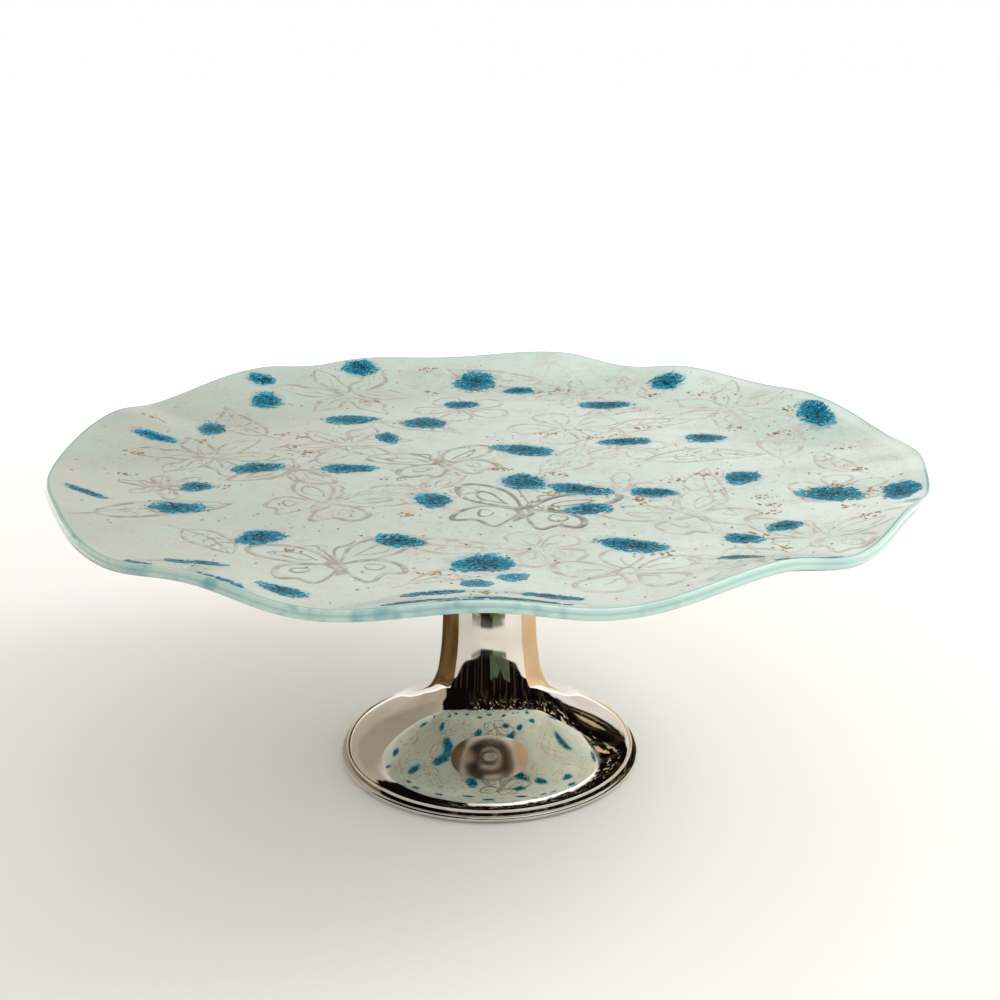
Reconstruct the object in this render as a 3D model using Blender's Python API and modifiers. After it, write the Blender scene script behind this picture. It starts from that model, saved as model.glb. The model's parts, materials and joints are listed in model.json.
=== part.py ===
"""Pedestal cake stand: a wavy dish of fused glass that screws onto a mirror-polished metal pedestal.

Every length below is in millimetres and is turned to metres when it reaches Blender. The origin is on the
table, under the middle of the stand, with +Z up. The glass dish, its bonded steel disc and the nylon seat
washer are the moving pieces: the dish unscrews from the tie rod, and rises by the thread's pitch each turn.
"""

from math import cos, pi, radians, sin

import bpy
import numpy as np

MM = 0.001
GAP = 0.3  # clearance between pieces that touch
MERGE = 0.00005

# --- Glass dish -------------------------------------------------------------------------------------
DISH_RADIUS = 175.0
DISH_FLAT_RADIUS = 106.0  # the middle is flat as far as this
DISH_DEPTH = 8.5  # from the flat middle up to the rim
DISH_CURL = 2.4  # exponent of the rising rim
GLASS = 4.0
GLASS_EDGE_ROUND = 1.2
RIM_HEIGHT = 137.0  # middle of the glass at the rim, before its waves
DISH_SEGMENTS = 104
# Where the rim rises and sinks, going round from +X: angle, lift and outward reach
RIM_WAVES = (
    (10, -2.5, 0.0), (31, 2.0, 0.0), (41, 0.0, 1.5), (55, 2.5, 0.5), (66, -1.5, 2.5),
    (79, 4.0, 2.0), (98, 0.5, 2.5), (113, 3.0, 0.5), (121, 1.5, 1.0), (131, 4.0, 3.0),
    (152, -1.5, 2.0), (165, 3.5, -1.5), (185, -1.0, 0.0), (204, 1.0, 0.5), (225, -2.5, 4.5),
    (238, 0.5, 1.5), (253, -2.5, 6.0), (270, 1.5, 1.5), (283, -2.0, 3.5), (302, 3.5, 0.0),
    (314, -1.5, 2.5), (329, 2.5, 0.0), (339, 0.0, 1.0), (348, 1.0, 0.0), (357, -0.5, 1.5),
)  # fmt: skip

# --- Thread between the dish and the pedestal -------------------------------------------------------
ROD_RADIUS = 5.0  # M10
ROD_CLEARANCE = 0.35
ROD_BOTTOM = 1.8

# --- Pedestal ---------------------------------------------------------------------------------------
SHEET = 1.2  # spun wall
# Outside of the spun pedestal from its neck to its lower edge: radius, height
PEDESTAL_OUTLINE = (
    (19.6, 116.8), (20.1, 62.0), (20.9, 51.0), (21.9, 43.5), (23.0, 38.0), (24.5, 33.8),
    (26.5, 30.1), (29.7, 26.5), (34.2, 23.0), (39.8, 19.8), (46.0, 16.9), (51.5, 14.2),
    (56.0, 11.7), (59.4, 9.4), (61.7, 7.0), (62.7, 4.8), (62.7, 3.5),
)  # fmt: skip
FOOT_RING_RADIUS = 65.0
FOOT_RING_INNER = 58.5
FOOT_RING_BOTTOM = 0.8
FOOT_PAD_RADIUS = 5.5
FOOT_PAD_CIRCLE = 50.0
FOOT_PADS = 4

# --- Support under the dish -------------------------------------------------------------------------
DISC_RADIUS = 46.0
PAD_RADIUS = 42.0

# --- Heights, worked out from the glass down and from the foot ring up ------------------------------
DISH_UNDERSIDE = RIM_HEIGHT - DISH_DEPTH - GLASS / 2
PAD_TOP = DISH_UNDERSIDE - GAP
PAD_BOTTOM = PAD_TOP - 0.7
DISC_TOP = PAD_BOTTOM - GAP
DISC_BOTTOM = DISC_TOP - 3.0
BOSS_BOTTOM = DISC_BOTTOM - 10.7
SEAT_TOP = DISC_BOTTOM - GAP
SEAT_BOTTOM = SEAT_TOP - 1.5
CAP_TOP = SEAT_BOTTOM - GAP
CAP_FLANGE_BOTTOM = CAP_TOP - 3.0
CAP_SPIGOT_BOTTOM = CAP_TOP - 17.0
CAP_COUNTERBORE_BOTTOM = BOSS_BOTTOM - 1.7
ROD_TOP = BOSS_BOTTOM + 7.0

FOOT_RING_TOP = PEDESTAL_OUTLINE[-1][1] - GAP
COVER_BOTTOM = FOOT_RING_TOP + GAP
COVER_TOP = COVER_BOTTOM + SHEET
RECESS_TOP = COVER_TOP + 9.5
RECESS_BOTTOM = RECESS_TOP - SHEET

COLLECTION = "cake_stand"


# --- Scene and finishes -----------------------------------------------------------------------------
def clear_scene():
    for obj in list(bpy.data.objects):
        bpy.data.objects.remove(obj, do_unlink=True)


def collection(name):
    made = bpy.data.collections.new(name)
    bpy.context.scene.collection.children.link(made)
    return made


def finish(name, colour, roughness, metallic=0.0, transmission=0.0):
    """A Principled material of one colour."""
    made = bpy.data.materials.new(name)
    made.use_nodes = True
    shader = made.node_tree.nodes["Principled BSDF"]
    shader.inputs["Base Color"].default_value = (*colour, 1.0)
    shader.inputs["Roughness"].default_value = roughness
    shader.inputs["Metallic"].default_value = metallic
    shader.inputs["Transmission Weight"].default_value = transmission
    made.diffuse_color = (*colour, 1.0)
    return made


def finishes():
    return {
        "glass": finish("fused_glass", (0.62, 0.76, 0.72), 0.12),
        "adhesive": finish("clear_adhesive", (0.85, 0.87, 0.84), 0.3),
        "mirror_nickel": finish("mirror_nickel", (0.78, 0.76, 0.73), 0.04, 1.0),
        "zinc": finish("zinc_plate", (0.62, 0.63, 0.64), 0.35, 1.0),
        "iron": finish("cast_iron", (0.09, 0.09, 0.09), 0.8, 0.6),
        "nylon": finish("clear_nylon", (0.8, 0.8, 0.76), 0.4),
        "rubber": finish("clear_rubber", (0.55, 0.55, 0.52), 0.6),
    }


# --- Shape helpers ----------------------------------------------------------------------------------
def place(name, mesh, where, material):
    obj = bpy.data.objects.new(name, mesh)
    where.objects.link(obj)
    obj.data.materials.append(material)
    return obj


def screw(obj, steps):
    """Turns the profile in obj once about Z."""
    turn = obj.modifiers.new("Turn", "SCREW")
    turn.axis = "Z"
    turn.angle = 2 * pi
    turn.steps = turn.render_steps = steps
    turn.use_merge_vertices = True
    turn.merge_threshold = MERGE
    turn.use_smooth_shade = True
    return turn


def turned(name, profile, where, material, steps=32, closed=True):
    """A solid of revolution. profile holds (radius, height) points that run down the outside and, for a
    closed ring, back up the bore; an open profile starts and ends on the axis."""
    points = [(r * MM, 0.0, z * MM) for r, z in profile]
    edges = [(i, i + 1) for i in range(len(points) - 1)]
    if closed:
        edges.append((len(points) - 1, 0))
    mesh = bpy.data.meshes.new(name)
    mesh.from_pydata(points, edges, [])
    obj = place(name, mesh, where, material)
    screw(obj, steps)
    return obj


def baked(obj, sharp_angle=35.0):
    """Replaces obj's mesh by its evaluated one, shaded smooth up to sharp_angle."""
    graph = bpy.context.evaluated_depsgraph_get()
    mesh = bpy.data.meshes.new_from_object(obj.evaluated_get(graph))
    obj.modifiers.clear()
    obj.data = mesh
    mesh.shade_smooth()
    mesh.set_sharp_from_angle(angle=radians(sharp_angle))
    return obj


def boolean(obj, cutter, operation="DIFFERENCE"):
    """Cuts obj with a hidden cutter, which stays in the cutters collection."""
    cut = obj.modifiers.new(operation.title(), "BOOLEAN")
    cut.operation = operation
    cut.solver = "EXACT"
    cut.object = cutter
    cutter.hide_render = True
    cutter.display_type = "WIRE"
    return cut


def ring(radius, bore, top, bottom, chamfer=0.3):
    """Profile of a flat ring with its outer corners chamfered."""
    return [
        (radius - chamfer, top), (radius, top - chamfer), (radius, bottom + chamfer),
        (radius - chamfer, bottom), (bore, bottom), (bore, top),
    ]  # fmt: skip


def spline(points, coarse=0):
    """A natural cubic spline through (radius, height) points. Returns the points themselves and, past the
    first coarse stretches, the middle of each stretch but the last."""
    points = np.array(points, dtype=float)
    knots = np.concatenate(([0.0], np.cumsum(np.hypot(*np.diff(points, axis=0).T))))
    h = np.diff(knots)
    size = len(knots)
    system = np.eye(size)
    right = np.zeros((size, 2))
    for i in range(1, size - 1):
        system[i, i - 1 : i + 2] = h[i - 1], 2 * (h[i - 1] + h[i]), h[i]
        right[i] = 6 * ((points[i + 1] - points[i]) / h[i] - (points[i] - points[i - 1]) / h[i - 1])
    bend = np.linalg.solve(system, right)
    middles = (knots[coarse:-2] + knots[coarse + 1 : -1]) / 2
    at = np.sort(np.concatenate((knots, middles)))
    i = np.clip(np.searchsorted(knots, at, side="right") - 1, 0, size - 2)
    u, w, step = (at - knots[i])[:, None], (knots[i + 1] - at)[:, None], h[i][:, None]
    curve = (bend[i] * w**3 + bend[i + 1] * u**3) / (6 * step)
    curve += (points[i] / step - bend[i] * step / 6) * w
    curve += (points[i + 1] / step - bend[i + 1] * step / 6) * u
    return curve


# --- Glass dish and what is bonded to it ------------------------------------------------------------
def rim_wave(degrees):
    """Lift and reach of the rim at an angle: cosine blends between neighbouring rows of RIM_WAVES."""
    rows = [*RIM_WAVES, (RIM_WAVES[0][0] + 360, *RIM_WAVES[0][1:])]
    degrees = (degrees - rows[0][0]) % 360 + rows[0][0]
    for (a, lift_a, reach_a), (b, lift_b, reach_b) in zip(rows, rows[1:]):
        if degrees <= b:
            blend = (1 - cos(pi * (degrees - a) / (b - a))) / 2
            return lift_a + (lift_b - lift_a) * blend, reach_a + (reach_b - reach_a) * blend
    return rows[-1][1:]


def dish_height(radius):
    """Middle of the glass above the table, before the rim's waves: flat, then curling upward."""
    rise = max(0.0, (radius - DISH_FLAT_RADIUS) / (DISH_RADIUS - DISH_FLAT_RADIUS))
    return RIM_HEIGHT - DISH_DEPTH + DISH_DEPTH * rise**DISH_CURL


def glass_plate(where, material):
    """The dish: a turned sheet whose outer band is waved, then given the glass's thickness."""
    radii = [0.0, 60.0, DISH_FLAT_RADIUS, 125.0, 141.0, 154.0, 165.0, DISH_RADIUS]
    profile = [(r, dish_height(r)) for r in radii]
    obj = turned("glass_plate", profile, where, material, DISH_SEGMENTS, closed=False)
    graph = bpy.context.evaluated_depsgraph_get()
    mesh = bpy.data.meshes.new_from_object(obj.evaluated_get(graph))
    obj.modifiers.clear()
    obj.data = mesh
    for vertex in mesh.vertices:
        x, y, z = (value / MM for value in vertex.co)
        radius = float(np.hypot(x, y))
        share = max(0.0, (radius - DISH_FLAT_RADIUS) / (DISH_RADIUS - DISH_FLAT_RADIUS))
        if share == 0.0:
            continue
        lift, reach = rim_wave(float(np.degrees(np.arctan2(y, x))))
        stretch = 1 + reach * share**2 / radius
        vertex.co = (x * stretch * MM, y * stretch * MM, (z + lift * share**2) * MM)
    mesh.shade_smooth()
    thicken = obj.modifiers.new("Glass", "SOLIDIFY")
    thicken.thickness = GLASS * MM
    thicken.offset = 0.0
    thicken.use_even_offset = True
    rounded = obj.modifiers.new("Fire-rounded edge", "BEVEL")
    rounded.width = GLASS_EDGE_ROUND * MM
    rounded.segments = 2
    rounded.limit_method = "ANGLE"
    rounded.angle_limit = radians(50)
    return obj


def bonding_pad(where, material):
    """The cured clear adhesive between the dish and its disc."""
    profile = [(0.0, PAD_TOP), (PAD_RADIUS, PAD_TOP), (PAD_RADIUS, PAD_BOTTOM), (0.0, PAD_BOTTOM)]
    return baked(turned("bonding_pad", profile, where, material, steps=48, closed=False))


def plate_disc(where, material):
    """The polished disc that carries the dish, with a boss threaded for the tie rod."""
    bore, edge = ROD_RADIUS + ROD_CLEARANCE, DISC_RADIUS
    profile = [
        (0.0, DISC_TOP), (edge - 0.4, DISC_TOP), (edge, DISC_TOP - 0.4), (edge, DISC_BOTTOM + 1.0),
        (edge - 1.0, DISC_BOTTOM), (10.0, DISC_BOTTOM), (10.0, BOSS_BOTTOM + 0.6), (9.4, BOSS_BOTTOM),
        (bore + 0.6, BOSS_BOTTOM), (bore, BOSS_BOTTOM + 0.6), (bore, DISC_TOP - 4.0),
        (0.0, DISC_TOP - 4.0),
    ]  # fmt: skip
    return baked(turned("plate_disc", profile, where, material, steps=48, closed=False))


def seat_washer(where, material):
    """Clear nylon washer, captive on the boss: it rises with the dish and lets the dish turn on it."""
    profile = ring(21.0, 10.6, SEAT_TOP, SEAT_BOTTOM)
    return baked(turned("seat_washer", profile, where, material))


# --- Pedestal ---------------------------------------------------------------------------------------
def stem_cap(where, material):
    """Turned cap that closes the stem, with a counterbore for the boss and a hole for the rod."""
    spigot = PEDESTAL_OUTLINE[0][0] - SHEET - GAP
    counterbore = 10.7
    bore = ROD_RADIUS + ROD_CLEARANCE
    profile = [
        (20.5, CAP_TOP), (21.0, CAP_TOP - 0.5), (21.0, CAP_FLANGE_BOTTOM + 0.5),
        (20.5, CAP_FLANGE_BOTTOM), (spigot, CAP_FLANGE_BOTTOM), (spigot, CAP_SPIGOT_BOTTOM + 0.8),
        (spigot - 0.8, CAP_SPIGOT_BOTTOM), (bore, CAP_SPIGOT_BOTTOM), (bore, CAP_COUNTERBORE_BOTTOM),
        (counterbore, CAP_COUNTERBORE_BOTTOM), (counterbore, CAP_TOP),
    ]  # fmt: skip
    return baked(turned("stem_cap", profile, where, material))


def pedestal_shell(where, material):
    """The spun pedestal: a slim neck that flares into a foot with a rounded shoulder."""
    profile = spline(PEDESTAL_OUTLINE, coarse=3)
    obj = turned("pedestal_shell", profile, where, material, steps=48, closed=False)
    wall = obj.modifiers.new("Wall", "SOLIDIFY")
    wall.thickness = SHEET * MM
    wall.offset = -1.0
    wall.use_even_offset = True
    return obj


def foot_ring(where, material):
    """Rounded bead that the pedestal's lower edge and the base cover sit on."""
    radius = (FOOT_RING_TOP - FOOT_RING_BOTTOM) / 2
    middle = (FOOT_RING_TOP + FOOT_RING_BOTTOM) / 2
    centre = FOOT_RING_RADIUS - radius
    arc = [radians(90 - 30 * i) for i in range(7)]
    profile = [(centre + radius * cos(a), middle + radius * sin(a)) for a in arc]
    profile += [(FOOT_RING_INNER, FOOT_RING_BOTTOM), (FOOT_RING_INNER, FOOT_RING_TOP)]
    return baked(turned("foot_ring", profile, where, material, steps=48))


def base_cover(where, material):
    """Pressed disc under the foot, raised in the middle to hide the nut."""
    profile = [
        (17.5, RECESS_TOP), (19.0, RECESS_TOP - 1.5), (19.0, COVER_TOP + 1.0), (20.0, COVER_TOP),
        (60.0, COVER_TOP), (60.6, COVER_TOP - 0.6), (60.0, COVER_BOTTOM), (18.5, COVER_BOTTOM),
        (17.5, COVER_BOTTOM + 1.0), (17.5, RECESS_BOTTOM - 0.6), (16.9, RECESS_BOTTOM),
        (ROD_RADIUS + ROD_CLEARANCE, RECESS_BOTTOM), (ROD_RADIUS + ROD_CLEARANCE, RECESS_TOP),
    ]  # fmt: skip
    return baked(turned("base_cover", profile, where, material, steps=40))


def ballast_weight(where, material):
    """Cast-iron ring that keeps the stand from tipping."""
    bottom = COVER_TOP + GAP
    profile = [
        (42.0, bottom + 10.2), (47.5, bottom + 8.2), (52.5, bottom + 5.0), (53.5, bottom + 4.0),
        (53.5, bottom), (20.8, bottom), (20.8, bottom + 10.2),
    ]  # fmt: skip
    return baked(turned("ballast_weight", profile, where, material))


def foot_pad(number, where, material):
    """One of the rubber pads that the stand rests on."""
    top = COVER_BOTTOM - GAP
    half = FOOT_PAD_RADIUS
    profile = [(0.0, top), (half, top), (half, 0.8), (half - 0.8, 0.0), (0.0, 0.0)]
    obj = turned(f"foot_pad_{number}", profile, where, material, steps=20, closed=False)
    angle = radians(45 + 360 / FOOT_PADS * (number - 1))
    obj.location = (FOOT_PAD_CIRCLE * cos(angle) * MM, FOOT_PAD_CIRCLE * sin(angle) * MM, 0.0)
    return obj


# --- Tie rod and its fasteners ----------------------------------------------------------------------
def tie_rod(where, material):
    """The rod that pulls the base cover, foot and cap together, and takes the dish's boss on its top."""
    radius, chamfer = ROD_RADIUS, 0.8
    profile = [
        (0.0, ROD_TOP), (radius - chamfer, ROD_TOP), (radius, ROD_TOP - chamfer),
        (radius, ROD_BOTTOM + chamfer), (radius - chamfer, ROD_BOTTOM), (0.0, ROD_BOTTOM),
    ]  # fmt: skip
    return baked(turned("tie_rod", profile, where, material, steps=24, closed=False))


def hex_nut(name, across_flats, top, bottom, where, cutters, material):
    """A hexagon nut with its corners chamfered on both faces."""
    corner = across_flats / 2 / cos(radians(30))
    height = top - bottom
    bpy.ops.mesh.primitive_cylinder_add(
        vertices=6, radius=corner * MM, depth=height * MM, location=(0, 0, (top + bottom) / 2 * MM)
    )
    obj = bpy.context.object
    obj.name = obj.data.name = name
    for owner in list(obj.users_collection):
        owner.objects.unlink(obj)
    where.objects.link(obj)
    obj.data.materials.append(material)
    flat, drop = across_flats / 2 * 0.97, 1.1
    chamfer = [
        (0.0, top + 0.5), (flat - 1.0, top + 0.5), (corner + 0.5, top - drop),
        (corner + 0.5, bottom + drop), (flat - 1.0, bottom - 0.5), (0.0, bottom - 0.5),
    ]  # fmt: skip
    rounded = turned(name + "_chamfer", chamfer, cutters, material, steps=24, closed=False)
    boolean(obj, rounded, "INTERSECT")
    bore = ROD_RADIUS + ROD_CLEARANCE
    hole = [(0.0, top + 2), (bore, top + 2), (bore, bottom - 2), (0.0, bottom - 2)]
    boolean(obj, turned(name + "_bore", hole, cutters, material, steps=24, closed=False))
    return obj


def lock_washer(top, where, cutters, material):
    """A split spring washer under the base nut."""
    profile = ring(8.2, ROD_RADIUS + ROD_CLEARANCE, top, top - 1.8, chamfer=0.2)
    obj = turned("lock_washer", profile, where, material)
    bpy.ops.mesh.primitive_cube_add(size=MM, location=(7.0 * MM, 0, (top - 0.9) * MM))
    split = bpy.context.object
    split.name = "lock_washer_split"
    split.dimensions = (8.0 * MM, 1.0 * MM, 4.0 * MM)
    bpy.ops.object.transform_apply(location=False, rotation=False, scale=True)
    for owner in list(split.users_collection):
        owner.objects.unlink(split)
    cutters.objects.link(split)
    boolean(obj, split)
    return obj


# --- Assembly ---------------------------------------------------------------------------------------
def build():
    clear_scene()
    where, cutters = collection(COLLECTION), collection("cutters")
    looks = finishes()

    glass_plate(where, looks["glass"])
    bonding_pad(where, looks["adhesive"])
    plate_disc(where, looks["mirror_nickel"])
    seat_washer(where, looks["nylon"])

    stem_cap(where, looks["mirror_nickel"])
    pedestal_shell(where, looks["mirror_nickel"])
    foot_ring(where, looks["mirror_nickel"])
    base_cover(where, looks["zinc"])
    ballast_weight(where, looks["iron"])
    for number in range(1, FOOT_PADS + 1):
        foot_pad(number, where, looks["rubber"])

    tie_rod(where, looks["zinc"])
    jam_top = CAP_SPIGOT_BOTTOM - GAP
    hex_nut("jam_nut", 17.0, jam_top, jam_top - 8.2, where, cutters, looks["zinc"])
    washer_top = RECESS_BOTTOM - GAP
    profile = ring(12.0, ROD_RADIUS + ROD_CLEARANCE, washer_top, washer_top - 1.6)
    baked(turned("rod_washer", profile, where, looks["zinc"]))
    lock_top = washer_top - 1.6 - GAP
    lock_washer(lock_top, where, cutters, looks["zinc"])
    nut_top = lock_top - 1.8 - GAP
    hex_nut("rod_nut", 17.0, nut_top, nut_top - 5.4, where, cutters, looks["zinc"])


build()
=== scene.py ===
"""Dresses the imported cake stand: a wavy dish of fused glass on a mirror-polished spun pedestal.

Lengths in the classes below are millimetres; a mesh is turned to metres as it is made. The origin is on the
table under the middle of the stand, +Z is up, and +Y points away from the camera.
"""

import json
import logging
from dataclasses import dataclass, field
from enum import Enum
from functools import partial
from math import atan, cos, pi, radians, sin
from typing import Any, Sequence

import bpy
import numpy as np
from numpy.typing import NDArray
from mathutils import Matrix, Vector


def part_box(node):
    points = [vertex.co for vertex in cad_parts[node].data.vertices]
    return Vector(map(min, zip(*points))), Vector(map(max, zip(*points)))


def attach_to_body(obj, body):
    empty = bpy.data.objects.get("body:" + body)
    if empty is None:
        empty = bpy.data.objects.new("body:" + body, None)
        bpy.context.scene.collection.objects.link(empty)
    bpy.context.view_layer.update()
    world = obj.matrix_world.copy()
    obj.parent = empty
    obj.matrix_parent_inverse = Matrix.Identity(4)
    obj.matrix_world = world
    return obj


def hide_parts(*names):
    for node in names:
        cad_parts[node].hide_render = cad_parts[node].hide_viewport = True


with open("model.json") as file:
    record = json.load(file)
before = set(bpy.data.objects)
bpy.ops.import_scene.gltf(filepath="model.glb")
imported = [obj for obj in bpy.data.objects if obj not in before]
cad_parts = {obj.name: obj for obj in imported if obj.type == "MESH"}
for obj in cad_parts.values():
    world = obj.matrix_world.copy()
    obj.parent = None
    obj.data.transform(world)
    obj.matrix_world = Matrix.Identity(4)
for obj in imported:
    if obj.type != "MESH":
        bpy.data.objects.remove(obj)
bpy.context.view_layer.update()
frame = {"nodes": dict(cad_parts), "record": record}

Array = NDArray[np.float64]
Socket = bpy.types.NodeSocket
LOG = logging.getLogger("cake_stand")
MM = 0.001
EASE = {"interpolation_type": "SMOOTHSTEP"}  # a range between two values, with smooth ends
TINTS = {"data_type": "RGBA"}  # a mix of two colours


# ----------------------------------------------------------------------------------------------------
# Small helpers
# ----------------------------------------------------------------------------------------------------
def linear(colour: str) -> tuple[float, float, float, float]:
    """Turns an sRGB hex colour to linear light.

    Args:
        colour: six hex digits after a hash, such as "#C8D7CD".

    Returns:
        Red, green, blue and an alpha of 1.
    """
    parts = [int(colour[i : i + 2], 16) / 255 for i in (1, 3, 5)]
    light = [c / 12.92 if c <= 0.04045 else ((c + 0.055) / 1.055) ** 2.4 for c in parts]
    return (*light, 1.0)


def per_mm(length: float) -> float:
    """Texture scale, in cycles a metre, of a pattern that repeats every length millimetres."""
    return 1 / (length * MM)


def feed(node: bpy.types.Node, links: dict[str | int, Any]) -> None:
    """Sets a node's inputs.

    Args:
        node: the node.
        links: for each input's name or number, the socket that feeds it or its constant value.
    """
    for key, value in links.items():
        if isinstance(value, Socket):
            node.id_data.links.new(value, node.inputs[key])
        else:
            node.inputs[key].default_value = value


def add_node(
    tree: bpy.types.NodeTree,
    kind: str,
    links: dict[str | int, Any] | None = None,
    output: str | int = 0,
    **settings: Any,
) -> Socket | None:
    """Adds a shader node with its settings and inputs.

    Args:
        tree: the node tree that gets the node.
        kind: the node's class name without "ShaderNode".
        links: for each input's name or number, the socket that feeds it or its constant value.
        output: name or number of the output to return.
        settings: properties of the node itself.

    Returns:
        The output's socket, or None for a node without outputs.
    """
    node = tree.nodes.new("ShaderNode" + kind)
    for key, value in settings.items():
        setattr(node, key, value)
    feed(node, links or {})
    return node.outputs[output] if node.outputs else None


def soft_patches(
    tree: bpy.types.NodeTree, spot: Socket, size: float, detail: int, edge: Sequence[float]
) -> Socket:
    """Soft patches with the given size: cloudy noise, eased from 0 to 1 between the two values of edge.

    Args:
        tree: the node tree.
        spot: the coordinates.
        size: size of a patch in millimetres.
        detail: octaves of finer noise.
        edge: noise values where a patch begins and where it is full.

    Returns:
        The share of the patch, from 0 to 1.
    """
    noise = add_node(tree, "TexNoise", {"Vector": spot, "Scale": per_mm(size), "Detail": detail})
    return add_node(tree, "MapRange", {0: noise, 1: edge[0], 2: edge[1]}, **EASE)


def pebbled(tree: bpy.types.NodeTree, spot: Socket, size: float, detail: int, depth: float) -> Socket:
    """Uneven skin: a bump of cloudy noise.

    Args:
        tree: the node tree.
        spot: the coordinates.
        size: size of a pebble in millimetres.
        detail: octaves of finer noise.
        depth: height of the noise in millimetres.

    Returns:
        The bumped normal.
    """
    noise = add_node(tree, "TexNoise", {"Vector": spot, "Scale": per_mm(size), "Detail": detail})
    return add_node(tree, "Bump", {"Height": noise, "Distance": depth * MM})


def cat(*parts: Array) -> Array:
    """Joins arrays end to end."""
    return np.concatenate(parts)


def make_object(name: str, points: Array, faces: Sequence[Sequence[int]], sharp: float) -> bpy.types.Object:
    """Makes a shaded mesh object at the origin.

    Args:
        name: the piece's name.
        points: vertices in millimetres, one row each.
        faces: vertex numbers of each face, anticlockwise from outside.
        sharp: edges bent by more than this many degrees stay sharp.

    Returns:
        The new object, linked to the scene.
    """
    mesh = bpy.data.meshes.new(name)
    mesh.from_pydata((np.asarray(points) * MM).tolist(), [], faces)
    mesh.update()
    mesh.shade_smooth()
    mesh.set_sharp_from_angle(angle=radians(sharp))
    obj = bpy.data.objects.new(name, mesh)
    bpy.context.scene.collection.objects.link(obj)
    return obj


def grid_faces(rows: int, columns: int, wrap_rows: bool, wrap_columns: bool) -> Array:
    """Quads of a grid whose outside is seen with rows running down and columns anticlockwise from above.

    Args:
        rows: number of rows of vertices.
        columns: number of vertices in a row.
        wrap_rows: join the last row to the first.
        wrap_columns: join the last column to the first.

    Returns:
        Vertex numbers, four to a face.
    """
    i, j = np.meshgrid(
        np.arange(rows if wrap_rows else rows - 1),
        np.arange(columns if wrap_columns else columns - 1),
        indexing="ij",
    )
    down, along = (i + 1) % rows, (j + 1) % columns
    corners = (i * columns + j, down * columns + j, down * columns + along, i * columns + along)
    return np.stack(corners, axis=-1).reshape(-1, 4)


def end_faces(rows: int, columns: int) -> list[list[int]]:
    """Triangles that close both ends of a grid of rows by columns onto the two points stored after it.

    Args:
        rows: number of rows of the grid.
        columns: number of vertices in a row.

    Returns:
        Vertex numbers of the two faces.
    """
    here = np.arange(columns)
    after, top, last = (here + 1) % columns, rows * columns, (rows - 1) * columns
    upper = np.stack([here * 0 + top, here, after], axis=1)
    lower = np.stack([here * 0 + top + 1, last + after, last + here], axis=1)
    return upper.tolist() + lower.tolist()


def attach(obj: bpy.types.Object, name: str, values: Array) -> None:
    """Stores one number for each vertex under a name that materials can read."""
    layer = obj.data.attributes.new(name, "FLOAT", "POINT")
    layer.data.foreach_set("value", np.asarray(values, dtype=np.float32))


def curve_through(points: Array, count: int) -> Array:
    """Natural cubic spline through points: on each stretch it blends both ends' values and bends.

    Args:
        points: the points in order, one row each.
        count: how many points to return.

    Returns:
        Points spread evenly along the chords, one row each.
    """
    points = np.asarray(points, dtype=float)
    knots = cat([0.0], np.cumsum(np.linalg.norm(np.diff(points, axis=0), axis=1)))
    gap = np.diff(knots)
    size = len(knots)
    system, right = np.eye(size), np.zeros_like(points)
    inner = np.arange(1, size - 1)
    system[inner, inner - 1] = gap[:-1]
    system[inner, inner] = 2 * (gap[:-1] + gap[1:])
    system[inner, inner + 1] = gap[1:]
    slope = np.diff(points, axis=0) / gap[:, None]
    right[1:-1] = 6 * np.diff(slope, axis=0)
    bend = np.linalg.solve(system, right)
    at = np.linspace(0.0, knots[-1], count)
    i = np.clip(np.searchsorted(knots, at, side="right") - 1, 0, size - 2)
    u, w, h = (at - knots[i])[:, None], (knots[i + 1] - at)[:, None], gap[i][:, None]
    curve = (bend[i] * w**3 + bend[i + 1] * u**3) / (6 * h)
    curve += (points[i] / h - bend[i] * h / 6) * w
    return curve + (points[i + 1] / h - bend[i + 1] * h / 6) * u


def rounded(profile: Sequence[tuple[float, float]], radius: float, closed: bool) -> Array:
    """Rounds a profile's corners: each corner becomes a quadratic arc between two points on its sides.

    Args:
        profile: corner points.
        radius: how far along each side the arc starts, at most 45% of the side.
        closed: whether the last point joins the first.

    Returns:
        The rounded profile.
    """
    points = np.asarray(profile, dtype=float)
    before, after = np.roll(points, 1, axis=0) - points, np.roll(points, -1, axis=0) - points
    long_before = np.linalg.norm(before, axis=1, keepdims=True)
    long_after = np.linalg.norm(after, axis=1, keepdims=True)
    start = points + before / long_before * np.minimum(radius, 0.45 * long_before)
    end = points + after / long_after * np.minimum(radius, 0.45 * long_after)
    t = np.linspace(0, 1, 5)[None, :, None]
    arcs = (1 - t) ** 2 * start[:, None] + 2 * t * (1 - t) * points[:, None] + t**2 * end[:, None]
    if closed:
        return arcs.reshape(-1, 2)
    return cat(points[:1], arcs[1:-1].reshape(-1, 2), points[-1:])


def lathe(
    name: str, profile: Array, closed: bool, segments: int = 160, sharp: float = 40
) -> bpy.types.Object:
    """Turned solid: the point (r, z) of the profile becomes (r cos a, r sin a, z) for each angle a.

    Args:
        name: the piece's name.
        profile: (radius, height) points running down the outside; an open one starts and ends on the axis.
        closed: whether the profile is a loop clear of the axis.
        segments: vertices round the axis.
        sharp: edges bent by more than this many degrees stay sharp.

    Returns:
        The piece.
    """
    angle = np.linspace(0, 2 * pi, segments, endpoint=False)
    body = profile if closed else profile[1:-1]
    r, z = body[:, :1], body[:, 1:]
    grid = np.stack([r * np.cos(angle), r * np.sin(angle), z + 0 * angle], axis=-1)
    faces = grid_faces(len(body), segments, closed, True).tolist()
    points = grid.reshape(-1, 3)
    if not closed:
        points = cat(points, [[0, 0, profile[0, 1]], [0, 0, profile[-1, 1]]])
        faces += end_faces(len(body), segments)
    return make_object(name, points, faces, sharp)


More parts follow.
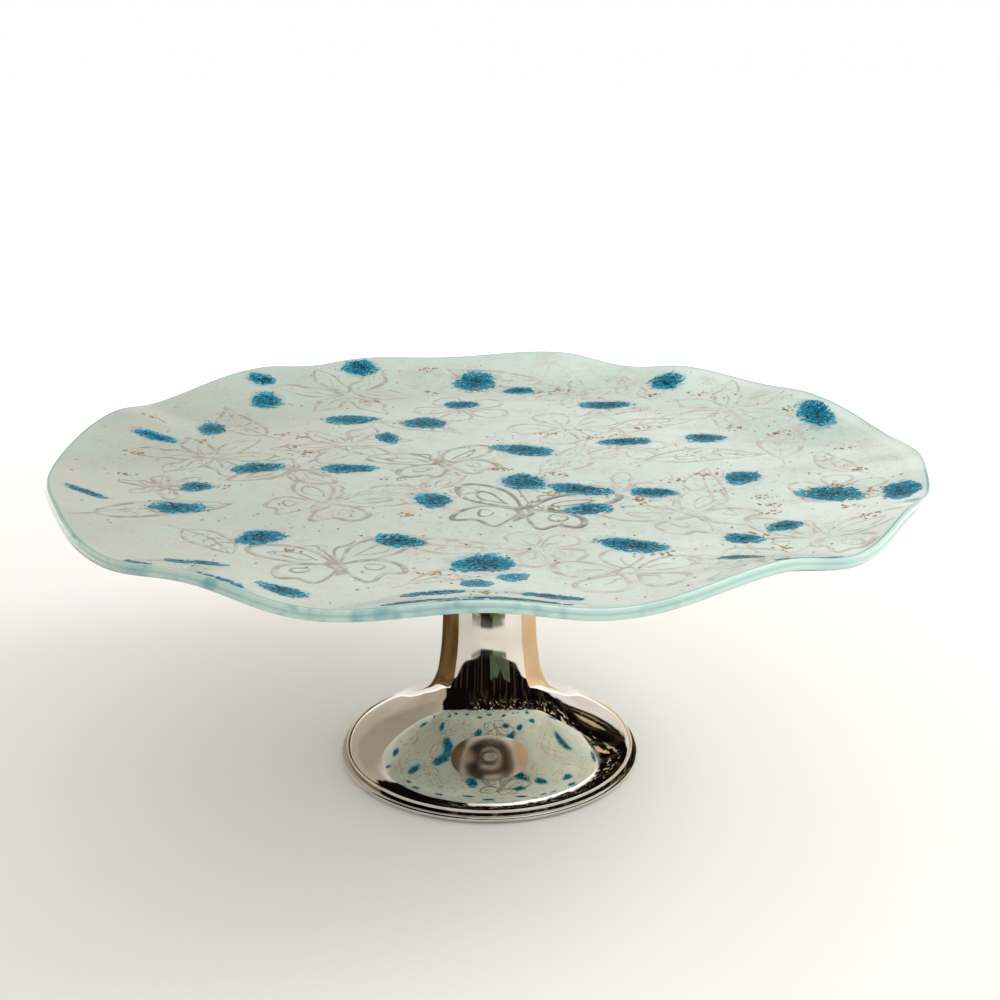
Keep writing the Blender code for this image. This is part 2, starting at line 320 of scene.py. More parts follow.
def dress(obj: bpy.types.Object, material: bpy.types.Material, body: str, slot: str, *nodes: str) -> None:
    """Gives a finished piece its material and body, and hides the CAD nodes that it stands for.

    Args:
        obj: the new mesh.
        material: its finish.
        body: the record body it moves with.
        slot: its material slot in the record; not used.
        nodes: the CAD nodes it stands for.
    """
    obj.data.materials.clear()
    obj.data.materials.append(material)
    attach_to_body(obj, body)
    if nodes:
        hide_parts(*nodes)
    faces = len(obj.data.polygons)
    LOG.info("%s: %d faces on body %s, for %s", obj.name, faces, body, ", ".join(nodes) or "detail")


# ----------------------------------------------------------------------------------------------------
# Finishes
# ----------------------------------------------------------------------------------------------------
@dataclass(frozen=True)
class Finish:
    """A surface finish that makes its own node material."""

    name: str

    def material(self) -> bpy.types.Material:
        """Makes the material.

        Returns:
            The new material.
        """
        material = bpy.data.materials.new(self.name)
        material.use_nodes = True
        tree = material.node_tree
        feed(tree.nodes["Principled BSDF"], self.surface(tree, add_node(tree, "TexCoord", None, "Object")))
        return material

    def surface(self, tree: bpy.types.NodeTree, spot: Socket) -> dict[str, Any]:
        """What the shader's inputs get; each finish has its own.

        Args:
            tree: the material's node tree.
            spot: the coordinates on the piece, in metres.

        Returns:
            The value or socket of each input that differs from its default.
        """
        raise NotImplementedError


@dataclass(frozen=True)
class FusedGlass(Finish):
    """Kiln-fused glass over a milky ground: fire-polished, so a clear coat over a soft, pale colour."""

    # Painted shade: the ground is darker on the left and lighter on the right, where the key light falls
    shaded_left_ground: str = "#B5C1B6"
    lit_right_ground: str = "#DAEBE2"
    drift: str = "#C0D8CD"
    blush: str = "#C4B8AB"
    speckle: str = "#B09E90"
    # Painted shade on the rim: darker on the left, lighter on the right
    shaded_left_rim: str = "#B4C8BC"
    lit_right_rim: str = "#C8E6DE"
    # Teal of the real seam and of the painted shade along the edge's corners
    seam: str = "#6FA8A1"
    # Painted highlight along the right rim
    rim_highlight: str = "#F0F6F2"
    frit_tint: str = "#2E8BAA"
    edge_streak: str = "#4C97A4"

    def surface(self, tree: bpy.types.NodeTree, spot: Socket) -> dict[str, Any]:
        """Milky aqua with drifting tints, fine speckle, a greener rim and blue haze round the frit, plus
        painted shade (darker left, dark edge corners) and a painted highlight along the right rim.

        Args:
            tree: the material's node tree.
            spot: the coordinates on the piece, in metres.

        Returns:
            What the shader's inputs get.
        """
        add = partial(add_node, tree)
        edge, highlight_share, seam, haze = (
            add("Attribute", None, "Fac", attribute_name=name)
            for name in ("rim_share", "rim_highlight", "seam_and_corner_shade", "frit_haze")
        )
        across = add("SeparateXYZ", {0: spot})
        # Painted shade from left to right across the dish, as if lit from the right
        side = add("MapRange", {0: across, 1: -0.18, 2: 0.12}, **EASE)
        colour = add(
            "Mix", {0: side, 6: linear(self.shaded_left_ground), 7: linear(self.lit_right_ground)}, 2, **TINTS
        )
        cloud = soft_patches(tree, spot, 60, 2, (0.38, 0.66))
        colour = add(
            "Mix",
            {0: add("Math", {0: cloud, 1: 0.4}, operation="MULTIPLY"), 6: colour, 7: linear(self.drift)},
            2,
            **TINTS,
        )
        cloud = soft_patches(tree, spot, 11, 4, (0.48, 0.70))
        colour = add(
            "Mix",
            {0: add("Math", {0: cloud, 1: 0.35}, operation="MULTIPLY"), 6: colour, 7: linear(self.blush)},
            2,
            **TINTS,
        )
        # Iridescent crumbs in the ground, about 1.5 mm across, thicker in some patches
        crumbs = soft_patches(tree, spot, 1.8, 3, (0.50, 0.66))
        patch = soft_patches(tree, spot, 14, 2, (0.35, 0.62))
        crumbs = add(
            "Math",
            {0: add("Math", {0: crumbs, 1: patch}, operation="MULTIPLY"), 1: 0.4},
            operation="MULTIPLY",
        )
        colour = add("Mix", {0: crumbs, 6: colour, 7: linear(self.speckle)}, 2, **TINTS)
        ragged = add(
            "Math",
            {0: add("TexNoise", {"Vector": spot, "Scale": per_mm(2.2), "Detail": 3}), 1: 1.2, 2: -0.6},
            operation="MULTIPLY_ADD",
        )
        torn = add("Math", {0: haze, 1: ragged}, operation="ADD")
        haze = add(
            "Math", {0: add("MapRange", {0: torn, 1: 0.15, 2: 0.75}, **EASE), 1: haze}, operation="MULTIPLY"
        )
        colour = add("Mix", {0: haze, 6: colour, 7: linear(self.frit_tint)}, 2, **TINTS)
        # The rim's tint carries the same painted shade, darker on the left
        rim = add("Mix", {0: side, 6: linear(self.shaded_left_rim), 7: linear(self.lit_right_rim)}, 2, **TINTS)
        colour = add(
            "Mix", {0: add("Math", {0: edge, 1: 0.85}, operation="MULTIPLY"), 6: colour, 7: rim}, 2, **TINTS
        )
        streak = soft_patches(tree, spot, 9, 4, (0.48, 0.70))
        near_left = add("MapRange", {0: across, 1: 0.10, 2: -0.02}, **EASE)
        streak = add("Math", {0: streak, 1: near_left}, operation="MULTIPLY")
        streak = add("Math", {0: streak, 1: 0.6}, operation="MULTIPLY")
        streak = add(
            "Math", {0: streak, 1: add("MapRange", {0: edge, 1: 0.9, 2: 1.0}, **EASE)}, operation="MULTIPLY"
        )
        colour = add("Mix", {0: streak, 6: colour, 7: linear(self.edge_streak)}, 2, **TINTS)
        # Painted shade along the edge's top and bottom corners, and the real seam between the sheets, in
        # one teal
        colour = add("Mix", {0: seam, 6: colour, 7: linear(self.seam)}, 2, **TINTS)
        # Painted highlight along the right rim
        colour = add("Mix", {0: highlight_share, 6: colour, 7: linear(self.rim_highlight)}, 2, **TINTS)
        rolling = pebbled(tree, spot, 22, 1, 0.25)
        return {
            "Base Color": colour,
            "Coat Normal": rolling,
            "Roughness": 0.28,
            "IOR": 1.5,
            "Coat Weight": 1.0,
            "Coat Roughness": 0.045,
            "Coat IOR": 1.5,
            "Subsurface Weight": 0.25,
            "Subsurface Radius": (0.8, 1.0, 1.0),
            "Subsurface Scale": 2.5 * MM,
        }


@dataclass(frozen=True)
class DrawnSilver(Finish):
    """Silver stain drawn on the glass and fired in: a warm grey line under the same glossy surface."""

    # Painted shade: faint lines darker on the left and lighter on the right
    shaded_left_faint: str = "#9C9284"
    lit_right_faint: str = "#CBC2B7"
    dark: str = "#5E6663"

    def surface(self, tree: bpy.types.NodeTree, spot: Socket) -> dict[str, Any]:
        """Line colour by each drawing's strength, thinned here and there where the stain took less.

        Args:
            tree: the material's node tree.
            spot: the coordinates on the piece, in metres.

        Returns:
            What the shader's inputs get.
        """
        add = partial(add_node, tree)
        strength = add("Attribute", None, "Fac", attribute_name="strength")
        # Painted shade across the dish, darker on the left
        side = add("MapRange", {0: add("SeparateXYZ", {0: spot}), 1: -0.18, 2: 0.12}, **EASE)
        faint = add("Mix", {0: side, 6: linear(self.shaded_left_faint), 7: linear(self.lit_right_faint)}, 2, **TINTS)
        colour = add("Mix", {0: strength, 6: faint, 7: linear(self.dark)}, 2, **TINTS)
        # Worn spots show the glass ground with its painted shade
        glass = FusedGlass(self.name)
        ground = add(
            "Mix", {0: side, 6: linear(glass.shaded_left_ground), 7: linear(glass.lit_right_ground)}, 2, **TINTS
        )
        worn = soft_patches(tree, spot, 6, 4, (0.40, 0.64))
        worn = add("Math", {0: worn, 1: 0.85}, operation="MULTIPLY")
        kept = add("Math", {0: strength, 1: -0.6, 2: 1.0}, operation="MULTIPLY_ADD")
        worn = add("Math", {0: worn, 1: kept}, operation="MULTIPLY")
        colour = add("Mix", {0: worn, 6: colour, 7: ground}, 2, **TINTS)
        grit = pebbled(tree, spot, 0.8, 2, 0.03)
        return {
            "Base Color": colour,
            "Normal": grit,
            "Roughness": 0.3,
            "Coat Weight": 1.0,
            "Coat Roughness": 0.05,
        }


@dataclass(frozen=True)
class BlueFrit(Finish):
    """Crushed blue glass fused in: each grain keeps its own tone, darkest where grains lie thick."""

    thin: str = "#4FA9BF"
    mid: str = "#0F7590"
    thick: str = "#062C36"
    glint: str = "#3FA3BD"
    rust: str = "#5B4A3C"

    def surface(self, tree: bpy.types.NodeTree, spot: Socket) -> dict[str, Any]:
        """Colour by how thick the grains lie, with a little change from grain to grain.

        Args:
            tree: the material's node tree.
            spot: the coordinates on the piece, in metres.

        Returns:
            What the shader's inputs get.
        """
        add = partial(add_node, tree)
        depth = add("Attribute", None, "Fac", attribute_name="depth")
        low = add(
            "Mix",
            {
                0: add("MapRange", {0: depth, 1: 0.0, 2: 0.45}, **EASE),
                6: linear(self.thin),
                7: linear(self.mid),
            },
            2,
            **TINTS,
        )
        colour = add(
            "Mix",
            {0: add("MapRange", {0: depth, 1: 0.62, 2: 1.0}, **EASE), 6: low, 7: linear(self.thick)},
            2,
            **TINTS,
        )
        glint = soft_patches(tree, spot, 1.1, 2, (0.60, 0.70))
        colour = add(
            "Mix",
            {0: add("Math", {0: glint, 1: 0.3}, operation="MULTIPLY"), 6: colour, 7: linear(self.glint)},
            2,
            **TINTS,
        )
        rust = soft_patches(tree, spot, 2.6, 3, (0.66, 0.70))
        colour = add(
            "Mix",
            {0: add("Math", {0: rust, 1: 0.7}, operation="MULTIPLY"), 6: colour, 7: linear(self.rust)},
            2,
            **TINTS,
        )
        return {
            "Base Color": colour,
            "Roughness": 0.3,
            "Specular IOR Level": 0.02,
            "Coat Weight": 0.15,
            "Coat Roughness": 0.05,
        }


@dataclass(frozen=True)
class MicaFlake(Finish):
    """Copper-gold mica flakes: small metallic plates scattered in the glass."""

    gold: str = "#CF9A50"
    copper: str = "#A56E3E"

    def surface(self, tree: bpy.types.NodeTree, spot: Socket) -> dict[str, Any]:
        """Gold to copper from flake to flake, half metallic because glass covers it.

        Args:
            tree: the material's node tree.
            spot: the coordinates on the piece, in metres.

        Returns:
            What the shader's inputs get.
        """
        add = partial(add_node, tree)
        mix = soft_patches(tree, spot, 3, 1, (0.4, 0.6))
        colour = add("Mix", {0: mix, 6: linear(self.gold), 7: linear(self.copper)}, 2, **TINTS)
        return {
            "Base Color": colour,
            "Metallic": 0.25,
            "Roughness": 0.35,
            "Coat Weight": 0.2,
            "Coat Roughness": 0.08,
        }


@dataclass(frozen=True)
class MirrorNickel(Finish):
    """Bright nickel plate on a spun and buffed shell: a mirror with faint buffing haze and ripples."""

    colour: str = "#E9E4DD"
    shade: str = "#DDD6CC"
    low: float = 0.015
    high: float = 0.06

    def surface(self, tree: bpy.types.NodeTree, spot: Socket) -> dict[str, Any]:
        """Near-white metal, gently rippled by spinning, with roughness that drifts a little.

        Args:
            tree: the material's node tree.
            spot: the coordinates on the piece, in metres.

        Returns:
            What the shader's inputs get.
        """
        add = partial(add_node, tree)
        cloud = add("TexNoise", {"Vector": spot, "Scale": per_mm(18), "Detail": 2})
        colour = add(
            "Mix",
            {
                0: add("MapRange", {0: cloud, 1: 0.4, 2: 0.7}, **EASE),
                6: linear(self.colour),
                7: linear(self.shade),
            },
            2,
            **TINTS,
        )
        haze = add(
            "MapRange",
            {
                0: add("TexNoise", {"Vector": spot, "Scale": per_mm(4), "Detail": 3}),
                3: self.low,
                4: self.high,
            },
        )
        # Spinning leaves shallow rings about 3 mm apart; buffing leaves 9 mm hollows
        rings = add(
            "TexWave",
            {0: spot, "Scale": per_mm(18), "Distortion": 1.2, "Detail": 1.0},
            1,
            bands_direction="Z",
        )
        soft = add(
            "Math",
            {0: rings, 1: 0.1, 2: add("TexNoise", {"Vector": spot, "Scale": per_mm(9), "Detail": 1})},
            operation="MULTIPLY_ADD",
        )
        return {
            "Base Color": colour,
            "Roughness": haze,
            "Normal": add("Bump", {"Height": soft, "Distance": 0.02 * MM}),
            "Metallic": 1.0,
        }


@dataclass(frozen=True)
class TurnedMetal(Finish):
    """Lathe-turned or plated metal: fine rings left by the tool and small changes of shine."""

    colour: str = "#B9BABB"
    stain: str = "#9FA1A3"
    low: float = 0.22
    high: float = 0.38
    rings: float = 0.6

    def surface(self, tree: bpy.types.NodeTree, spot: Socket) -> dict[str, Any]:
        """Rings about the axis, cloudy tint and roughness between low and high.

        Args:
            tree: the material's node tree.
            spot: the coordinates on the piece, in metres.

        Returns:
            What the shader's inputs get.
        """
        add = partial(add_node, tree)
        cloud = add("TexNoise", {"Vector": spot, "Scale": per_mm(6), "Detail": 3})
        colour = add(
            "Mix",
            {
                0: add("MapRange", {0: cloud, 1: 0.35, 2: 0.7}, **EASE),
                6: linear(self.colour),
                7: linear(self.stain),
            },
            2,
            **TINTS,
        )
        haze = add(
            "MapRange",
            {
                0: add("TexNoise", {"Vector": spot, "Scale": per_mm(2), "Detail": 2}),
                3: self.low,
                4: self.high,
            },
        )
        tool = add(
            "TexWave",
            {0: spot, "Scale": per_mm(self.rings * 6.3)},
            1,
            wave_type="RINGS",
            rings_direction="Z",
        )
        return {
            "Base Color": colour,
            "Roughness": haze,
            "Normal": add("Bump", {"Height": tool, "Distance": 0.01 * MM}),
            "Metallic": 1.0,
        }


@dataclass(frozen=True)
class Moulded(Finish):
    """Moulded or cast matter, such as nylon, rubber, cured adhesive or raw iron: a pebbled skin."""

    colour: str = "#C9C8BE"
    shade: str = "#B4B2A8"
    roughness: float = 0.45
    metallic: float = 0.0
    pebble: float = 0.8
    depth: float = 0.03

    def surface(self, tree: bpy.types.NodeTree, spot: Socket) -> dict[str, Any]:
        """Two close tones in clouds, with a fine pebble that is depth millimetres deep.

        Args:
            tree: the material's node tree.
            spot: the coordinates on the piece, in metres.

        Returns:
            What the shader's inputs get.
        """
        add = partial(add_node, tree)
        cloud = add("TexNoise", {"Vector": spot, "Scale": per_mm(7), "Detail": 3})
        colour = add(
            "Mix",
            {
                0: add("MapRange", {0: cloud, 1: 0.35, 2: 0.7}, **EASE),
                6: linear(self.colour),
                7: linear(self.shade),
            },
            2,
            **TINTS,
        )
        skin = pebbled(tree, spot, self.pebble, 3, self.depth)
        return {
            "Base Color": colour,
            "Normal": skin,
            "Roughness": self.roughness,
            "Metallic": self.metallic,
        }


# ----------------------------------------------------------------------------------------------------
# Glass dish
# ----------------------------------------------------------------------------------------------------
class Side(Enum):
    """The two faces of the dish."""

    TOP = 1
    UNDER = -1


@dataclass(frozen=True)
class Patch:
    """One heap of frit: where it lies on the dish, its length along X, its depth along Y and its turn."""

    x: float
    y: float
    length: float
    depth: float
    turn: float = 0.0
    weight: float = 1.0


@dataclass
class Dish:
    """The fused-glass dish. A point is named by where it would lie on the flat round blank."""

    radius: float = 175.0
    flat: float = 106.0
    deep: float = 8.5
    curl: float = 2.4
    thick: float = 3.99
    rim_height: float = 137.0
    edge_bulge: float = 1.5
    shy: float = 0.08  # keeps the fine edge inside the CAD edge
    seam: float = 0.35
    segments: int = 520
    # Where the rim rises and sinks, going round from +X: angle, lift and outward reach
    waves: tuple[tuple[float, float, float], ...] = (
        (10, -2.5, 0.0), (31, 2.0, 0.0), (41, 0.0, 1.5), (55, 2.5, 0.5), (66, -1.5, 2.5),
        (79, 4.0, 2.0), (98, 0.5, 2.5), (113, 3.0, 0.5), (121, 1.5, 1.0), (131, 4.0, 3.0),
        (152, -1.5, 2.0), (165, 3.5, -1.5), (185, -1.0, 0.0), (204, 1.0, 0.5), (225, -2.5, 4.5),
        (238, 0.5, 1.5), (253, -2.5, 6.0), (270, 1.5, 1.5), (283, -2.0, 3.5), (302, 3.5, 0.0),
        (314, -1.5, 2.5), (329, 2.5, 0.0), (339, 0.0, 1.0), (348, 1.0, 0.0), (357, -0.5, 1.5),
    )  # fmt: skip

    def wave(self, angle: Array) -> tuple[Array, Array]:
        """Lift and reach of the rim: between neighbouring rows of waves they follow half a cosine.

        Args:
            angle: directions in radians.

        Returns:
            Lift and reach in millimetres.
        """
        rows = np.array([*self.waves, self.waves[0]])
        rows[-1, 0] += 360
        at = (np.degrees(angle) - rows[0, 0]) % 360 + rows[0, 0]
        i = np.clip(np.searchsorted(rows[:, 0], at, side="right") - 1, 0, len(rows) - 2)
        share = (1 - np.cos(pi * (at - rows[i, 0]) / (rows[i + 1, 0] - rows[i, 0]))) / 2
        lift = rows[i, 1] + (rows[i + 1, 1] - rows[i, 1]) * share
        reach = rows[i, 2] + (rows[i + 1, 2] - rows[i, 2]) * share
        return lift, reach

    def middle(self, x: Array, y: Array) -> Array:
        """Middle surface of the glass above blank point (x, y).

        The height is flat, then rises with the share of the way to the rim to the power curl. Past the
        flat part the point also lifts and moves outward with the rim's wave times that share squared.

        Args:
            x: blank coordinates along X.
            y: blank coordinates along Y.

        Returns:
            Points, with a last axis of 3.
        """
        r = np.hypot(x, y)
        share = np.clip((r - self.flat) / (self.radius - self.flat), 0, None)
        lift, reach = self.wave(np.arctan2(y, x))
        stretch = 1 + reach * share**2 / np.maximum(r, 1e-6)
        z = self.rim_height - self.deep + self.deep * share**self.curl + lift * share**2
        return np.stack([x * stretch, y * stretch, z], axis=-1)

    def normal(self, x: Array, y: Array) -> Array:
        """Upward unit normal of the middle surface, from the slopes a twentieth of a millimetre apart.

        Args:
            x, y: blank coordinates along X and Y.

        Returns:
            Vectors, with a last axis of 3.
        """
        step = 0.05
        along_x = self.middle(x + step, y) - self.middle(x - step, y)
        along_y = self.middle(x, y + step) - self.middle(x, y - step)
        across = np.cross(along_x, along_y)
        return across / np.linalg.norm(across, axis=-1, keepdims=True)

    def surface(self, x: Array, y: Array, side: Side, proud: Array | float = 0.0) -> Array:
        """Point on one face of the glass: half the thickness, and proud more, along the normal.

        Args:
            x: blank coordinates along X.
            y: blank coordinates along Y.
            side: which face.
            proud: how far above the face.

        Returns:
            Points, with a last axis of 3.
        """
        off = np.asarray(self.thick / 2 + proud)[..., None] * side.value
        return self.middle(x, y) + self.normal(x, y) * off

    def mesh(self, patches: Sequence[Patch]) -> bpy.types.Object:
        """Closed skin of the glass: out along the top, round the edge and back in along the underside.

        At angle a the section runs out along the top, then round the edge, where the point at section
        angle s stands half the thickness times sin(s) up and edge_bulge times cos(s) out, both to the
        power 0.55 for a blunt edge, less a narrow groove where the two sheets meet; then back underneath.

        Args:
            patches: heaps of frit, whose haze is stored on the vertices.

        Returns:
            The piece, with rim_share and frit_haze stored.
        """
        last = self.radius - self.edge_bulge
        inner = np.linspace(0, self.flat, 34)[1:]
        outer = self.flat + (last - self.flat) * np.linspace(0, 1, 34)[1:]
        radii = cat(inner, outer)
        angle = np.linspace(0, 2 * pi, self.segments, endpoint=False)
        out = np.stack([np.cos(angle), np.sin(angle)], axis=-1)

        def plan(r: Array) -> tuple[Array, Array]:
            """Plan of the grid at the given radii.

            Args:
                r: blank radii.

            Returns:
                x and y of the grid.
            """
            return r[:, None] * out[:, 0], r[:, None] * out[:, 1]

        top = self.surface(*plan(radii), Side.TOP)
        under = self.surface(*plan(radii[::-1]), Side.UNDER)
        turn = np.linspace(pi / 2, -pi / 2, 21)[1:-1]
        rise = np.sign(np.sin(turn)) * np.abs(np.sin(turn)) ** 0.55
        bulge = (self.edge_bulge - self.shy) * np.cos(turn) ** 0.55
        bulge -= self.seam * np.exp(-((rise / 0.16) ** 2))
        rim_x, rim_y = plan(np.array([last]))
        centre, up = self.middle(rim_x, rim_y), self.normal(rim_x, rim_y)
        around = np.cross(up, np.append(out, np.zeros((len(out), 1)), axis=1)[None])
        outward = np.cross(around, up)
        outward /= np.linalg.norm(outward, axis=-1, keepdims=True)
        edge = centre + up * (rise * self.thick / 2)[:, None, None] + outward * bulge[:, None, None]
        grid = np.concatenate([top, edge, under])
        rows = len(grid)
        points = grid.reshape(-1, 3)
        half = self.thick / 2
        hub = [[0, 0, float(self.middle(np.zeros(1), np.zeros(1))[0, 2]) + s * half] for s in (1, -1)]
        faces = grid_faces(rows, self.segments, False, True).tolist() + end_faces(rows, self.segments)
        obj = make_object("glass_dish", cat(points, hub), faces, 60)
        run = cat(radii, np.full(len(turn), self.radius), radii[::-1])
        share = np.clip((run - self.radius + 7) / 6, 0, 1) ** 2
        attach(obj, "rim_share", cat(np.repeat(share, self.segments), [0, 0]))
        # Painted shade: dark lines along the top and bottom corners of the edge; the fainter middle line
        # marks the real seam between the two sheets
        line = np.exp(-(((rise - 0.98) / 0.05) ** 2)) + 0.35 * np.exp(-(((rise + 0.05) / 0.13) ** 2))
        line += 0.7 * np.exp(-(((rise + 0.92) / 0.07) ** 2))
        line = cat(0 * radii, np.clip(line, 0, 1) * 0.8, 0 * radii)
        attach(obj, "seam_and_corner_shade", cat(np.repeat(line, self.segments), [0, 0]))
        # Painted highlight: near-white along the clear margin about 4.5 mm inside the rim, on the top face
        # and only towards +X, where the key light falls
        clear = np.exp(-(((radii - self.radius + 4.5) / 1.6) ** 2))
        clear = cat(clear, 0 * turn, 0 * radii)
        lit_side = np.clip(np.cos(angle - radians(8)) * 1.6 - 0.5, 0, 1) * 0.75
        attach(obj, "rim_highlight", cat((clear[:, None] * lit_side).ravel(), [0, 0]))
        blank = cat(radii, np.full(len(turn), last), radii[::-1])
        x, y = plan(blank)
        attach(obj, "frit_haze", cat(self.haze(x, y, patches).ravel(), [0, 0]))
        return obj

    def haze(self, x: Array, y: Array, patches: Sequence[Patch]) -> Array:
        """Blue haze at blank points: the strongest of all patches' bell curves in their own ellipses.

        Args:
            x, y: blank coordinates along X and Y.
            patches: heaps of frit.

        Returns:
            Share of blue haze, from 0 to 1.
        """
        found = np.zeros(np.broadcast(x, y).shape)
        for patch in patches:
            a = radians(patch.turn)
            u = ((x - patch.x) * cos(a) + (y - patch.y) * sin(a)) / (patch.length * 0.54)
            v = (-(x - patch.x) * sin(a) + (y - patch.y) * cos(a)) / (patch.depth * 0.58)
            found = np.maximum(found, patch.weight * np.exp(-((u * u + v * v) ** 1.3)))
        return found


@dataclass
class FritScatter:
    """Grains of crushed blue glass, strewn in heaps and fused into the face of the dish."""

    dish: Dish
    grains_per_mm2: float = 1.25
    corners: int = 5
    seed: int = 11
    patches: tuple[Patch, ...] = (
        Patch(-67, 151, 18, 18), Patch(-8, 143, 24, 27), Patch(88, 131, 18, 20), Patch(149, 65, 16, 34),
        Patch(-112, 121, 15, 11), Patch(-107, 99, 16, 20), Patch(-125, 54, 14, 20),
        Patch(-146, 31, 24, 9, -14),
        Patch(-65, 75, 28, 17, -5), Patch(-30, 69, 24, 19, -20), Patch(-45, 43, 11, 19, 15),
        Patch(-14, 104, 21, 15, 18), Patch(14, 129, 18, 10), Patch(55, 103, 27, 16, 6),
        Patch(60, 37, 25, 13, 8), Patch(95, 43, 19, 15), Patch(15, 23, 29, 18, -25),
        Patch(14, -24, 20, 22, 25),
        Patch(36, -34, 28, 15, -18), Patch(64, -38, 22, 12, -5), Patch(38, -59, 19, 14, 15),
        Patch(102, -18, 15, 20, -30), Patch(132, -45, 27, 21, -28), Patch(156, -54, 16, 22, -15),
        Patch(-21, -48, 15, 19, 20), Patch(-31, -95, 20, 14, -20), Patch(51, -100, 29, 14, -28),
        Patch(-1, -119, 25, 19, 3), Patch(-3, -142, 11, 11, 0, 0.7), Patch(9, -134, 11, 11, 0, 0.5),
        Patch(-95, -4, 23, 16, 16), Patch(-58, -5, 25, 14, 0), Patch(-80, -92, 18, 18, 0),
        Patch(-116, -60, 22, 16, 8), Patch(-115, -31, 14, 13, 25), Patch(-152, -54, 21, 6, -28),
        Patch(-91, -128, 15, 6, -25), Patch(-62, -151, 19, 9, -25), Patch(-16, -154, 24, 6, 6),
        Patch(20, -157, 24, 6, -8), Patch(90, -94, 14, 13, 10), Patch(107, -82, 15, 11, 35),
        Patch(84, -122, 17, 7, -8), Patch(-100, -126, 13, 4, -35), Patch(-20, -167, 22, 4, 3),
        Patch(10, -168, 32, 4, -2), Patch(98, -138, 14, 5, 25),
        Patch(-82, -153, 30, 7, -28), Patch(-112, -132, 16, 5, -40), Patch(-8, -173, 34, 4, 0),
        Patch(42, -173, 26, 4, 4), Patch(108, -134, 22, 6, 30),
    )  # fmt: skip

    def strew(self) -> tuple[Array, Array, Array, Array]:
        """Scatters grains: each patch draws bell-curve places in its ellipse, denser in the middle.

        Returns:
            Blank x, blank y, grain radius and depth of each grain.
        """
        draw = np.random.default_rng(self.seed)
        found: list[Array] = []
        for patch in self.patches:
            area = pi * patch.length * patch.depth / 4
            count = int(area * self.grains_per_mm2 * (0.4 + 0.6 * patch.weight)) + 20
            # Even over the heap, whose outline bulges with three sines of the direction
            turn, off = draw.random(count) * 2 * pi, np.sqrt(draw.random(count))
            bulge = sum(
                (h * np.sin(k * turn + draw.random() * 6) for k, h in ((2, 0.1), (3, 0.1), (5, 0.07)))
            )
            reach = 0.82 * off * (1 + bulge) * (1 + 0.07 * np.abs(draw.normal(size=count)))
            loose = draw.random(count) < 0.035
            reach[loose] *= 1.25
            spread = np.stack([np.cos(turn), np.sin(turn)], axis=1) * reach[:, None]
            spread *= [patch.length / 2, patch.depth / 2]
            a = radians(patch.turn)
            x = patch.x + spread[:, 0] * cos(a) - spread[:, 1] * sin(a)
            y = patch.y + spread[:, 0] * sin(a) + spread[:, 1] * cos(a)
            depth = 0.85 - 0.8 * reach**2 + draw.normal(size=count) * 0.26
            depth = np.clip(depth, 0, 1) * patch.weight
            size = 0.5 + 0.45 * draw.random(count) ** 1.5 + 0.15 * depth
            found.append(np.stack([x, y, size, depth]))
        x, y, size, depth = np.concatenate(found, axis=1)
        inside = np.hypot(x, y) < self.dish.radius - 2.5
        return x[inside], y[inside], size[inside], depth[inside]


def flakes(
    name: str, dish: Dish, side: Side, x: Array, y: Array, size: Array, corners: int, seed: int
) -> bpy.types.Object:
    """Small flat flakes half sunk in the glass: a ring of corners between a raised and a sunken middle.

    Args:
        name: the piece's name.
        dish: the dish that they lie on.
        side: which face.
        x: blank x of each flake.
        y: blank y of each flake.
        size: radius of each flake.
        corners: corners of a flake.
        seed: seed of the ragged outlines.

    Returns:
        The piece; each flake has corners + 2 vertices in a row.
    """
    draw = np.random.default_rng(seed)
    count = len(x)
    turn = draw.random((count, 1)) * 2 * pi + np.arange(corners) * 2 * pi / corners
    reach = size[:, None] * (0.7 + 0.6 * draw.random((count, corners)))
    ring = dish.surface(
        x[:, None] + reach * np.cos(turn), y[:, None] + reach * np.sin(turn), side, 0.11
    )
    peak = dish.surface(x, y, side, 0.11 + 0.09 * draw.random(count))[:, None]
    pit = dish.surface(x, y, side, -0.12)[:, None]
    points = np.concatenate([ring, peak, pit], axis=1).reshape(-1, 3)
    start = np.arange(count)[:, None] * (corners + 2)
    here = np.arange(corners)
    after = (here + 1) % corners
    upper = np.stack([start + here, start + after, start + corners + 0 * here], axis=-1)
    lower = np.stack([start + after, start + here, start + corners + 1 + 0 * here], axis=-1)
    faces = np.concatenate([upper, lower]).reshape(-1, 3)
    if side is Side.UNDER:
        faces = faces[:, ::-1]
    return make_object(name, points, faces.tolist(), 80)


# ----------------------------------------------------------------------------------------------------
# Line drawings fused in the glass
# ----------------------------------------------------------------------------------------------------
class Motif(Enum):
    """The plain shapes drawn on the glass."""

    BUTTERFLY = "butterfly"
    ROUND_FLOWER = "round flower"
    STAR_FLOWER = "star flower"
    LEAF = "leaf"


@dataclass(frozen=True)
class Drawing:
    """One motif on the dish: its place, half-width, turn and how dark its line is."""

    motif: Motif
    x: float
    y: float
    size: float
    turn: float
    strength: float = 0.1


Stroke = tuple[Array, float]


